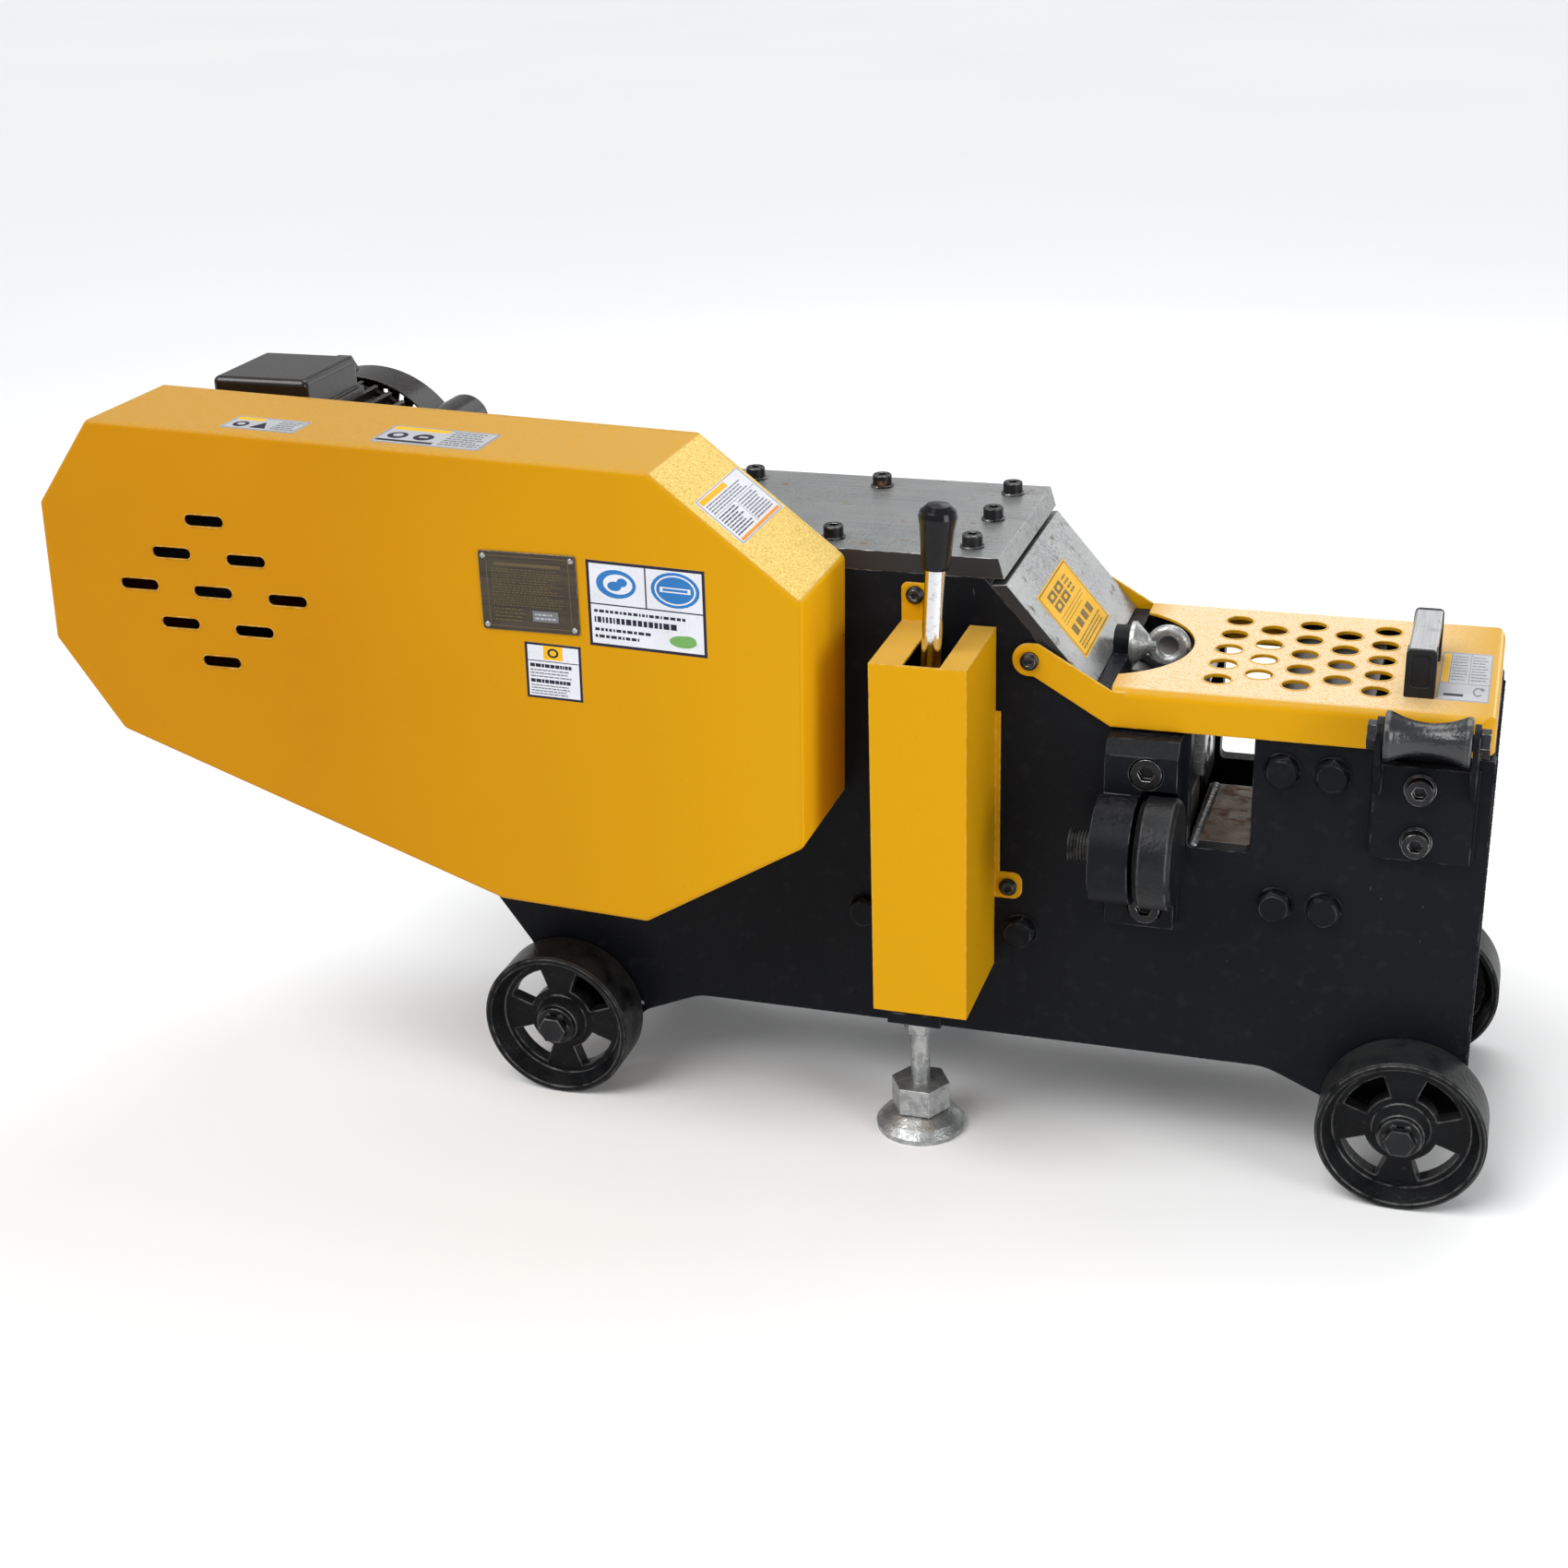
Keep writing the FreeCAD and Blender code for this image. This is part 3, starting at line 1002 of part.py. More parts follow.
def wheel(x):
    """Near-side cast wheel: plain tread, four windows in the web, and a boss."""
    rim = revolve([(WHEEL_Y0, 75), (WHEEL_Y0, WHEEL_R - 2), (WHEEL_Y0 + 2, WHEEL_R), (WHEEL_Y1 - 2, WHEEL_R),
                   (WHEEL_Y1, WHEEL_R - 2), (WHEEL_Y1, 75), (-148, 66), (-162, 66)],
                  V(x, 0, WHEEL_R), V(0, 1, 0))
    web = ring_y(x, WHEEL_R, AXLE_R, 68, -163, -147)
    boss = revolve([(-177, 0), (-177, 23), (-163, 28), (-147, 28), (-126, 24), (-126, 0)],
                   V(x, 0, WHEEL_R), V(0, 1, 0))
    windows = []
    for i in range(4):
        windows.append(web_window(x, WHEEL_R, 36, 60, 90 * i + 20, 50))
    body = fuse([rim, cut(web, windows), boss])
    return body.cut(rod_y(x, WHEEL_R, AXLE_R + FIT, -200, -100))


def wheels():
    solids = []
    for label, x in (("front", FRONT_AXLE_X), ("rear", REAR_AXLE_X)):
        near = wheel(x)
        save("wheel_%s_near" % label, near)
        save("wheel_%s_far" % label, mirrored(near))
        solids.append(rod_y(x, WHEEL_R, AXLE_R, -179, 179))
    for x in (FRONT_AXLE_X, REAR_AXLE_X):
        washer = rod_y(x, WHEEL_R, 21, -181, -178)
        head = hex_along("y", x, WHEEL_R, 27, -192, -181)
        near = fuse([washer, head]).cut(rod_y(x, WHEEL_R, AXLE_R + FIT, -185, -170))
        solids += [near, mirrored(near)]
    save("axles", *solids)


def levelling_feet():
    x, y = FOOT_X, FOOT_Y
    shelf = block(x - 28, x + 28, y - 26, -BODY_HALF, 132, 144)
    rib = prism_x([(y - 22, 144), (-BODY_HALF, 144), (-BODY_HALF, 186)], x - 28, x - 20)
    near_bracket = fuse([shelf, rib]).cut(rod_z(x, y, 10 + FIT, 120, 150))
    pad = revolve([(0, 0), (0, 46), (6, 47), (14, 40), (21, 30), (24, 22), (24, 0)], V(x, y, 0), V(0, 0, 1))
    stem = fuse([hex_along("z", x, y, 54, 24, 54), rod_z(x, y, 10, 54, 158)])
    nuts = [hex_along("z", x, y, 30, 114, 131.5), hex_along("z", x, y, 30, 144.5, 156)]
    nuts = [nut.cut(rod_z(x, y, 10 + FIT, 100, 160)) for nut in nuts]
    fixed = [near_bracket] + nuts
    save("foot_brackets", *(fixed + [mirrored(solid) for solid in fixed]))
    save("levelling_foot_near", pad, stem)
    save("levelling_foot_far", mirrored(pad), mirrored(stem))


def main():
    os.makedirs("parts", exist_ok=True)
    side_plates()
    frame_plates()
    frame_bolts()
    save("case_bolts", *(gear_case_cover() + bearing_caps()))
    sloped_cover()
    eye_bolt()
    bearings()
    drive_shaft()
    countershaft()
    clutch_gear()
    crankshaft()
    connecting_rod()
    ram()
    ram_guides()
    blades()
    blade_block()
    clutch_sleeve()
    lever_parts()
    lever_pivot()
    lever_box()
    flywheel()
    motor_pulley()
    belts()
    belt_guard()
    nameplate()
    motor_housing()
    motor_ends()
    motor_rotor()
    fan_cover()
    terminal_box()
    capacitor_cover()
    motor_base()
    blade_guard()
    guard_handle()
    bar_stop()
    feed_roller()
    save("side_fitting_bolts", *(stop_bolts() + roller_bolts() + lever_box_bolts() + guard_pivot_bolts()))
    wheels()
    levelling_feet()


main()
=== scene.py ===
import bpy
import bmesh
import json
import math
import random
from mathutils import Matrix, Vector


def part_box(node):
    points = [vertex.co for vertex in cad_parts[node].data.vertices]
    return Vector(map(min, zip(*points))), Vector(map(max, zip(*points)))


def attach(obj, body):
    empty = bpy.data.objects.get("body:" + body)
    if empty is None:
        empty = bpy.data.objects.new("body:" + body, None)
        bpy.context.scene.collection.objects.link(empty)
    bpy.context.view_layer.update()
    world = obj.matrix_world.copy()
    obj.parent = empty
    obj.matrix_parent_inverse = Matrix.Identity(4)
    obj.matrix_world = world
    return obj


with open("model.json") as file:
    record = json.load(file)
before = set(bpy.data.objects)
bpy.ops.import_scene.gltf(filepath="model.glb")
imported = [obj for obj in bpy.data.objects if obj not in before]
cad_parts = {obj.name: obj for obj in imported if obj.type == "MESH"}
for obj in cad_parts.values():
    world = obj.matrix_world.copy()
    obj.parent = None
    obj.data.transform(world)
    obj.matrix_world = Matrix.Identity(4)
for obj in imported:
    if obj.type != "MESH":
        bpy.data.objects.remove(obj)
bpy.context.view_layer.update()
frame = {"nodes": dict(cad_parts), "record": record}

# Looks of the rebar cutter.  Places and sizes are millimetres in the machine's own axes
# unless a comment says metres: X along the body towards the shearing end, Y across it
# from its mid-plane, away from the operator, and Z up from the floor.  ORIGIN takes
# them into the frame, which is centred on the whole machine.
ORIGIN = Vector((190.45, 39.8, 0.0))
X_AXIS = Vector((1, 0, 0))
Y_AXIS = Vector((0, 1, 0))
Z_AXIS = Vector((0, 0, 1))


def at(x, y, z):
    """Point in the frame, in metres."""
    return (Vector((x, y, z)) + ORIGIN) / 1000


def box_mm(node):
    """Lowest and highest corner of a CAD node."""
    low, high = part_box(node)
    return low * 1000 - ORIGIN, high * 1000 - ORIGIN


SIDE_Y = box_mm("side_plate_far")[1].y          # outer face of a side plate
INNER_Y = box_mm("side_plate_far")[0].y         # its inner face
GUARD_FACE_Y = box_mm("belt_guard")[0].y        # the operator's side of the belt guard
LID_FRONT = box_mm("blade_guard")[1].x
LID_TOP_Z = 506.0
PLATE_LOW, PLATE_HIGH = box_mm("nameplate")
PLATE_FACE_Y = GUARD_FACE_Y - 1.2
FOOT_X, FOOT_Y = -34.0, 143.0                   # upright axis of a levelling foot
SHELF_LOW, SHELF_HIGH = 132.0, 144.0            # faces of the shelf that carries it
NUT_REACH = 18.5                                # a little over a foot nut's radius

# X and Z of the two ends of each sloping face that carries a sticker.
GUARD_TOP = ((-846.0, 753.0), (-256.0, 733.0))
GUARD_CHAMFER = ((-256.0, 733.0), (-111.0, 618.0))
SLOPED_COVER = ((49.0, 599.5), (124.0, 512.0))

# X and Z of the hexagon bolts in each side plate.
SIDE_BOLTS = ((318, 434), (365, 434), (318, 292), (365, 292), (66, 232), (-96, 236))


# ---- materials ---------------------------------------------------------------------
ZINC = (0.42, 0.43, 0.43)


class Surface:
    """A Principled material built up in layers over object coordinates."""

    def __init__(self, name, colour, rough, metallic=0.0, specular=0.5):
        self.mat = bpy.data.materials.new(name)
        self.mat.use_nodes = True
        self.tree = self.mat.node_tree
        self.shader = self.tree.nodes["Principled BSDF"]
        self.shader.inputs["Specular IOR Level"].default_value = specular
        self.mat.diffuse_color = (*colour, 1.0)
        self.coords = self.add("ShaderNodeTexCoord").outputs["Object"]
        self.colour = (*colour, 1.0)
        self.rough = rough
        self.metallic = metallic
        self.height = None
        self.bevel = None

    def add(self, kind, links=(), **settings):
        node = self.tree.nodes.new(kind)
        for key, value in settings.items():
            setattr(node, key, value)
        for socket, value in links:
            if isinstance(value, bpy.types.NodeSocket):
                self.tree.links.new(value, node.inputs[socket])
            else:
                node.inputs[socket].default_value = value
        return node

    def noise(self, scale, low, high, detail=4.0, stretch=None):
        """Noise from 0 to 1 with its contrast set by the band from low to high."""
        vector = self.coords
        if stretch:
            mapping = self.add("ShaderNodeMapping", [("Vector", vector), ("Scale", stretch)])
            vector = mapping.outputs[0]
        tex = self.add("ShaderNodeTexNoise", [("Vector", vector), ("Scale", scale), ("Detail", detail)])
        return self.ramp(tex.outputs["Fac"], low, high)

    def ramp(self, value, low, high):
        """Value turned into 0 at low and 1 at high; low may be the larger one."""
        links = [("Value", value), ("From Min", low), ("From Max", high)]
        return self.add("ShaderNodeMapRange", links, clamp=True).outputs[0]

    def times(self, a, b):
        return self.add("ShaderNodeMath", [(0, a), (1, b)], operation="MULTIPLY").outputs[0]

    def plus(self, a, b):
        return self.add("ShaderNodeMath", [(0, a), (1, b)], operation="ADD").outputs[0]

    def facing(self, axis, low, high):
        """Mask of the faces that look along an axis: 0, 1 or 2 for X, Y or Z."""
        normal = self.add("ShaderNodeTexCoord").outputs["Normal"]
        split = self.add("ShaderNodeSeparateXYZ", [(0, normal)])
        return self.ramp(split.outputs[axis], low, high)

    def place(self, axis, low, high):
        """Mask that rises from low to high along an axis, both in metres of the frame."""
        split = self.add("ShaderNodeSeparateXYZ", [(0, self.coords)])
        return self.ramp(split.outputs[axis], low, high)

    def within(self, axis, centre, reach):
        """Mask of the band that reaches as far to both sides of its centre, in metres."""
        soft = 0.0001
        after = self.place(axis, centre - reach - soft, centre - reach + soft)
        before = self.place(axis, centre + reach + soft, centre + reach - soft)
        return self.times(after, before)

    def edges(self, width=0.002):
        """Mask of the edges; the first call also rounds the shading there to its width."""
        if self.bevel is None:
            self.bevel = self.add("ShaderNodeBevel", [("Radius", width)], samples=4).outputs[0]
        normal = self.add("ShaderNodeNewGeometry").outputs["Normal"]
        dot = self.add("ShaderNodeVectorMath", [(0, self.bevel), (1, normal)], operation="DOT_PRODUCT")
        return self.ramp(dot.outputs["Value"], 0.985, 0.86)

    def layer(self, mask, colour, rough=None, metallic=None):
        """Blend another finish over what is there, where the mask is 1."""
        mix = self.add("ShaderNodeMix", [(0, mask), (6, self.colour), (7, (*colour, 1.0))],
                       data_type="RGBA")
        self.colour = mix.outputs[2]
        if rough is not None:
            self.rough = self.blended(mask, self.rough, rough)
        if metallic is not None:
            self.metallic = self.blended(mask, self.metallic, metallic)

    def blended(self, mask, below, above):
        return self.add("ShaderNodeMix", [(0, mask), (2, below), (3, above)]).outputs[0]

    def bump(self, height, amount):
        """Add to the relief; an amount of 1 stands for a millimetre."""
        scaled = self.times(height, amount)
        self.height = scaled if self.height is None else self.plus(self.height, scaled)

    def done(self):
        """Connect what was built up and give the material."""
        for socket, value in (("Base Color", self.colour), ("Roughness", self.rough),
                              ("Metallic", self.metallic)):
            if isinstance(value, bpy.types.NodeSocket):
                self.tree.links.new(value, self.shader.inputs[socket])
            else:
                self.shader.inputs[socket].default_value = value
        if self.height is not None:
            links = [("Height", self.height), ("Strength", 1.0), ("Distance", 0.001)]
            if self.bevel is not None:
                links.append(("Normal", self.bevel))
            bump = self.add("ShaderNodeBump", links)
            self.tree.links.new(bump.outputs[0], self.shader.inputs["Normal"])
        return self.mat


def yellow_paint():
    """Sprayed yellow, lighter towards the front; tops are dusty and carry painted sheen, the lid and the
    chamfer painted glare, the belt guard's shaded end painted light, and the edges a painted highlight
    and chips.
    """
    s = Surface("paint_yellow", (0.50, 0.208, 0.003), 0.28, specular=0.06)
    s.layer(s.noise(3.0, 0.35, 0.7), (0.54, 0.233, 0.003), 0.32)
    towards_front = s.place(0, -0.45, 0.08)
    s.layer(towards_front, (0.60, 0.297, 0.003), 0.30)
    s.layer(s.noise(90.0, 0.70, 0.84), (0.52, 0.225, 0.003), 0.36)
    # Dust and painted sheen: fine paler speckles on the faces that look up, partly standing in for light
    # glancing off the tops.
    pale_top_speckle = s.times(s.facing(2, 0.3, 0.95), s.noise(700.0, 0.34, 0.64, 2.0))
    s.layer(pale_top_speckle, (0.50, 0.32, 0.085), 0.5)
    # Painted light: the belt guard's end, which faces +X and lies in shade, is painted a brighter yellow
    # to make up for the light it does not get.
    belt_guard_end_painted_light = s.times(s.facing(0, 0.7, 0.95), s.place(0, 0.12, 0.09))
    s.layer(belt_guard_end_painted_light, (0.85, 0.43, 0.006), 0.3)
    # Painted glare: the chamfer's faces, which look up and towards the shearing end, get pale speckles
    # that stand in for light glancing off them.
    chamfer = s.times(s.facing(2, 0.6, 0.75), s.facing(0, 0.45, 0.6))
    s.layer(s.times(chamfer, s.noise(500.0, 0.25, 0.60, 2.0)), (0.82, 0.62, 0.20), 0.45)
    # Painted glare: the lid's top gets pale speckles that stand in for the glare of light on it.
    lid_length = s.times(s.place(0, 0.34, 0.37), s.place(0, 0.69, 0.58))
    lid = s.times(s.facing(2, 0.85, 0.99), lid_length)
    s.layer(s.times(lid, s.noise(600.0, 0.25, 0.55, 3.0)), (0.74, 0.58, 0.38), 0.45)
    # Painted highlight: the edges are painted a paler yellow to stand in for light catching them.
    s.layer(s.times(s.edges(0.0022), s.noise(140.0, 0.40, 0.62)), (0.80, 0.52, 0.14), 0.3)
    chips = s.times(s.edges(), s.noise(45.0, 0.67, 0.70))
    s.layer(chips, (0.14, 0.12, 0.10), 0.5, 0.4)
    s.bump(s.noise(420.0, 0.2, 0.8, 2.0), 0.10)
    s.bump(s.noise(28.0, 0.2, 0.8, 1.0), 0.25)
    return s.done()


def black_paint(name):
    """Black paint, not closed yet, so that a caller can lay more over it."""
    s = Surface(name, (0.0055, 0.0062, 0.0080), 0.34, specular=0.07)
    s.layer(s.noise(5.0, 0.35, 0.7), (0.0080, 0.0090, 0.0115), 0.42)
    s.layer(s.noise(60.0, 0.56, 0.80), (0.013, 0.014, 0.016), 0.50)
    pale_top_speckle = s.times(s.facing(2, 0.4, 0.95), s.noise(220.0, 0.45, 0.65))
    s.layer(pale_top_speckle, (0.018, 0.018, 0.019), 0.55)
    scratches = s.noise(240.0, 0.77, 0.79, 2.0, (1.0, 1.0, 0.18))
    s.layer(scratches, (0.08, 0.08, 0.08), 0.55)
    s.layer(s.times(s.edges(0.002), s.noise(55.0, 0.46, 0.62)), (0.14, 0.14, 0.14), 0.42, 0.5)
    splashes = s.times(s.place(2, 0.13, 0.09), s.noise(26.0, 0.70, 0.72))
    s.layer(splashes, (0.40, 0.39, 0.37), 0.6)
    s.bump(s.noise(300.0, 0.2, 0.8, 3.0), 0.16)
    s.bump(s.noise(22.0, 0.2, 0.8, 2.0), 0.35)
    return s


def foot_bracket_finish():
    """Painted bracket with zinc-plated nuts above and below its shelf."""
    s = black_paint("paint_black_foot")
    below = s.place(2, (SHELF_LOW - 0.1) / 1000, (SHELF_LOW - 0.3) / 1000)
    above = s.place(2, (SHELF_HIGH + 0.2) / 1000, (SHELF_HIGH + 0.4) / 1000)
    off_the_shelf = s.plus(below, above)
    for side in (-1, 1):
        axis = at(FOOT_X, side * FOOT_Y, 0.0)
        nut = off_the_shelf
        for i in (0, 1):
            nut = s.times(nut, s.within(i, axis[i], NUT_REACH / 1000))
        s.layer(nut, ZINC, 0.36, 0.85)
        s.layer(s.times(nut, s.noise(95.0, 0.4, 0.62, 1.0)), (0.26, 0.27, 0.27), 0.46)
    return s.done()


def cover_steel():
    """Ground plate: bare on top and on its slope, painted black on its sides."""
    s = Surface("cover_steel", (0.34, 0.345, 0.34), 0.34, metallic=0.75)
    s.layer(s.noise(16.0, 0.35, 0.7), (0.20, 0.205, 0.21), 0.42)
    grinding = s.noise(7.0, 0.3, 0.7, 6.0, (1.0, 45.0, 45.0))
    s.layer(grinding, (0.38, 0.39, 0.39), 0.3)
    s.layer(s.noise(60.0, 0.62, 0.72), (0.16, 0.13, 0.10), 0.6, 0.3)
    grime = s.times(s.noise(500.0, 0.5, 0.7, 2.0), s.noise(9.0, 0.4, 0.7))
    s.layer(grime, (0.11, 0.11, 0.11), 0.5)
    sides = s.times(s.facing(2, 0.55, 0.35), s.facing(0, 0.8, 0.5))
    s.layer(sides, (0.008, 0.009, 0.011), 0.45, 0.0)
    s.layer(s.times(s.edges(0.0015), s.noise(70.0, 0.4, 0.6)), (0.45, 0.45, 0.44), 0.3, 0.9)
    s.bump(s.noise(500.0, 0.2, 0.8, 3.0), 0.10)
    s.bump(s.noise(7.0, 0.2, 0.8, 5.0, (1.0, 60.0, 60.0)), 0.10)
    return s.done()


def plain_steel(name, light, dark, rough, rust=0.0, grain=(1.0, 1.0, 1.0), relief=0.12):
    """Uncoated steel with patches of dark, a grain and, from 0 to 1, rust."""
    s = Surface(name, light, rough, metallic=0.9)
    s.layer(s.noise(30.0, 0.35, 0.7), dark, rough + 0.12)
    s.layer(s.noise(40.0, 0.4, 0.7, 5.0, grain), tuple(0.8 * c for c in light), rough + 0.06)
    if rust:
        s.layer(s.noise(55.0, 0.72 - 0.25 * rust, 0.80 - 0.2 * rust), (0.17, 0.075, 0.03), 0.75, 0.2)
    s.layer(s.times(s.edges(0.0012), s.noise(120.0, 0.4, 0.6)), (0.62, 0.62, 0.61), 0.28, 0.95)
    s.bump(s.noise(420.0, 0.2, 0.8, 3.0), relief)
    s.bump(s.noise(45.0, 0.2, 0.8, 4.0, grain), relief)
    return s.done()


def cast_iron(name="cast_black", colour=(0.0060, 0.0065, 0.0078), rough=0.38, gloss=0.22, tread=False):
    """Black casting with a coarse skin; edges, and the treads of wheels, are rubbed bright."""
    s = Surface(name, colour, rough, specular=gloss)
    s.layer(s.noise(35.0, 0.4, 0.7), tuple(1.9 * c for c in colour), rough + 0.08)
    if tread:
        rolling = s.times(s.facing(1, -0.5, -0.2), s.facing(1, 0.5, 0.2))
        s.layer(s.times(rolling, s.noise(30.0, 0.30, 0.62, 5.0)), (0.035, 0.036, 0.037), 0.42, 0.45)
    s.layer(s.noise(160.0, 0.64, 0.78), (0.026, 0.025, 0.024), rough + 0.15)
    s.layer(s.times(s.edges(0.003), s.noise(70.0, 0.36, 0.6)), (0.20, 0.20, 0.19), 0.4, 0.8)
    s.bump(s.noise(230.0, 0.2, 0.8, 5.0), 0.5)
    s.bump(s.noise(60.0, 0.2, 0.8, 3.0), 0.5)
    return s.done()


def galvanised():
    s = Surface("galvanised", ZINC, 0.36, metallic=0.85)
    s.layer(s.noise(95.0, 0.4, 0.62, 1.0), (0.30, 0.31, 0.31), 0.46)
    s.layer(s.noise(240.0, 0.55, 0.7), (0.55, 0.56, 0.55), 0.30)
    s.layer(s.noise(70.0, 0.64, 0.74), (0.17, 0.15, 0.12), 0.65, 0.4)
    s.layer(s.times(s.edges(0.0015), s.noise(120.0, 0.4, 0.6)), (0.70, 0.70, 0.69), 0.3)
    s.bump(s.noise(380.0, 0.2, 0.8, 4.0), 0.30)
    return s.done()


def chrome():
    s = Surface("chrome_plate", (0.72, 0.72, 0.73), 0.10, metallic=1.0)
    s.layer(s.noise(260.0, 0.55, 0.75), (0.50, 0.50, 0.51), 0.24)
    s.layer(s.noise(18.0, 0.55, 0.75, 4.0, (1.0, 1.0, 0.2)), (0.58, 0.57, 0.56), 0.2)
    s.layer(s.times(s.edges(0.001), s.noise(150.0, 0.4, 0.6)), (0.82, 0.82, 0.82), 0.15)
    s.bump(s.noise(600.0, 0.2, 0.8), 0.03)
    return s.done()


def plastic(name, colour, rough, relief):
    s = Surface(name, colour, rough, specular=0.22)
    s.layer(s.noise(40.0, 0.4, 0.7), tuple(1.5 * c for c in colour), rough + 0.06)
    s.layer(s.noise(900.0, 0.58, 0.7, 2.0), tuple(2.0 * c for c in colour), rough + 0.1)
    s.layer(s.times(s.edges(0.0015), s.noise(160.0, 0.4, 0.6)), tuple(3.0 * c for c in colour), rough)
    s.bump(s.noise(1100.0, 0.2, 0.8, 2.0), relief)
    return s.done()


def motor_enamel():
    s = Surface("motor_enamel", (0.010, 0.008, 0.007), 0.16, specular=0.45)
    s.layer(s.noise(14.0, 0.35, 0.7), (0.016, 0.013, 0.011), 0.22)
    s.layer(s.times(s.facing(2, 0.3, 0.95), s.noise(260.0, 0.50, 0.75)), (0.030, 0.028, 0.026), 0.36)
    s.layer(s.times(s.edges(0.002), s.noise(90.0, 0.4, 0.6)), (0.12, 0.11, 0.10), 0.35)
    s.bump(s.noise(200.0, 0.2, 0.8, 3.0), 0.08)
    return s.done()


def brushed_bar():
    s = Surface("brushed_bar", (0.36, 0.36, 0.37), 0.34, metallic=0.85)
    s.layer(s.noise(14.0, 0.35, 0.7, 6.0, (60.0, 1.0, 60.0)), (0.48, 0.48, 0.48), 0.28)
    s.layer(s.noise(45.0, 0.6, 0.75), (0.28, 0.28, 0.28), 0.4)
    s.layer(s.times(s.edges(0.0015), s.noise(120.0, 0.4, 0.6)), (0.75, 0.75, 0.75), 0.25)
    s.bump(s.noise(14.0, 0.2, 0.8, 6.0, (70.0, 1.0, 70.0)), 0.06)
    return s.done()


def bronze_plate():
    s = Surface("bronze_plate", (0.060, 0.048, 0.034), 0.38, metallic=0.6)
    s.layer(s.noise(30.0, 0.4, 0.7), (0.085, 0.066, 0.045), 0.44)
    s.layer(s.noise(15.0, 0.4, 0.7, 5.0, (1.0, 40.0, 40.0)), (0.045, 0.037, 0.028), 0.5)
    s.layer(s.times(s.edges(0.001), s.noise(200.0, 0.3, 0.6)), (0.35, 0.30, 0.22), 0.35, 0.9)
    s.bump(s.noise(900.0, 0.2, 0.8), 0.04)
    return s.done()


def rubber():
    s = Surface("belt_rubber", (0.012, 0.012, 0.012), 0.7)
    s.layer(s.noise(70.0, 0.4, 0.7), (0.03, 0.03, 0.03), 0.8)
    s.layer(s.times(s.edges(0.001), s.noise(200.0, 0.4, 0.6)), (0.06, 0.06, 0.06), 0.6)
    s.bump(s.noise(700.0, 0.2, 0.8), 0.1)
    return s.done()


def copper_core():
    s = Surface("laminated_core", (0.20, 0.17, 0.15), 0.45, metallic=0.8)
    s.layer(s.noise(20.0, 0.4, 0.6, 4.0, (1.0, 60.0, 1.0)), (0.36, 0.19, 0.09), 0.4)
    s.layer(s.edges(0.001), (0.45, 0.42, 0.38), 0.35)
    s.bump(s.noise(20.0, 0.2, 0.8, 4.0, (1.0, 80.0, 1.0)), 0.1)
    return s.done()


def printed(name, colour):
    """Printed film or ink: faint fading, dust and a slightly uneven gloss."""
    s = Surface(name, colour, 0.42, specular=0.15)
    s.layer(s.noise(25.0, 0.4, 0.75), tuple(0.90 * c for c in colour), 0.52)
    s.layer(s.noise(350.0, 0.62, 0.75), tuple(0.72 * c for c in colour), 0.57)
    s.bump(s.noise(300.0, 0.2, 0.8, 2.0), 0.03)
    return s.done()


MATERIALS = {
    "frame_black": black_paint("paint_black").done(),
    "bare_plate": cover_steel(),
    "guard_yellow": yellow_paint(),
    "bolt_black": plain_steel("black_oxide", (0.035, 0.035, 0.037), (0.018, 0.018, 0.02), 0.36, 0.25),
    "gear_steel": plain_steel("oiled_steel", (0.30, 0.30, 0.31), (0.19, 0.18, 0.17), 0.32, 0.2),
    "shaft_steel": plain_steel("ground_steel", (0.48, 0.48, 0.49), (0.33, 0.33, 0.33), 0.24),
    "blade_steel": plain_steel("blade_steel", (0.58, 0.58, 0.59), (0.40, 0.40, 0.40), 0.22, 0.15,
                               (1.0, 30.0, 30.0)),
    "worn_steel": plain_steel("worn_steel", (0.26, 0.22, 0.18), (0.12, 0.085, 0.06), 0.5, 0.75,
                              (1.0, 1.0, 1.0), 0.4),
    "cast_grey": cast_iron(),
    "zinc": galvanised(),
    "motor_brown": motor_enamel(),
    "copper_core": copper_core(),
    "belt_rubber": rubber(),
    "black_plastic": plastic("matt_plastic", (0.009, 0.009, 0.010), 0.36, 0.08),
    "knob_plastic": plastic("knob_plastic", (0.005, 0.005, 0.006), 0.12, 0.02),
    "bar_silver": brushed_bar(),
    "lever_chrome": chrome(),
    "plate_bronze": bronze_plate(),
}
WHEEL_IRON = cast_iron("cast_wheel", (0.0030, 0.0033, 0.0040), 0.32, 0.12, True)
SPECIAL_FINISHES = {
    "wheel_front_near": WHEEL_IRON,
    "wheel_front_far": WHEEL_IRON,
    "wheel_rear_near": WHEEL_IRON,
    "wheel_rear_far": WHEEL_IRON,
    "feed_roller": cast_iron("cast_roller", (0.0080, 0.0085, 0.0100), 0.20, 0.65),
    "foot_brackets": foot_bracket_finish(),
}
INKS = {
    "white": printed("film_white", (0.70, 0.71, 0.76)),
    "pale": printed("film_pale", (0.42, 0.43, 0.45)),
    "dark": printed("ink_dark", (0.020, 0.018, 0.035)),
    "grey": printed("ink_grey", (0.16, 0.165, 0.18)),
    "yellow": printed("film_yellow", (0.80, 0.44, 0.008)),
    "orange": printed("film_orange", (0.80, 0.28, 0.010)),
    "blue": printed("ink_blue", (0.03, 0.17, 0.45)),
    "green": printed("ink_green", (0.16, 0.36, 0.10)),
    "brown": printed("ink_brown", (0.20, 0.125, 0.030)),
    "gold": printed("ink_gold", (0.12, 0.090, 0.045)),
}


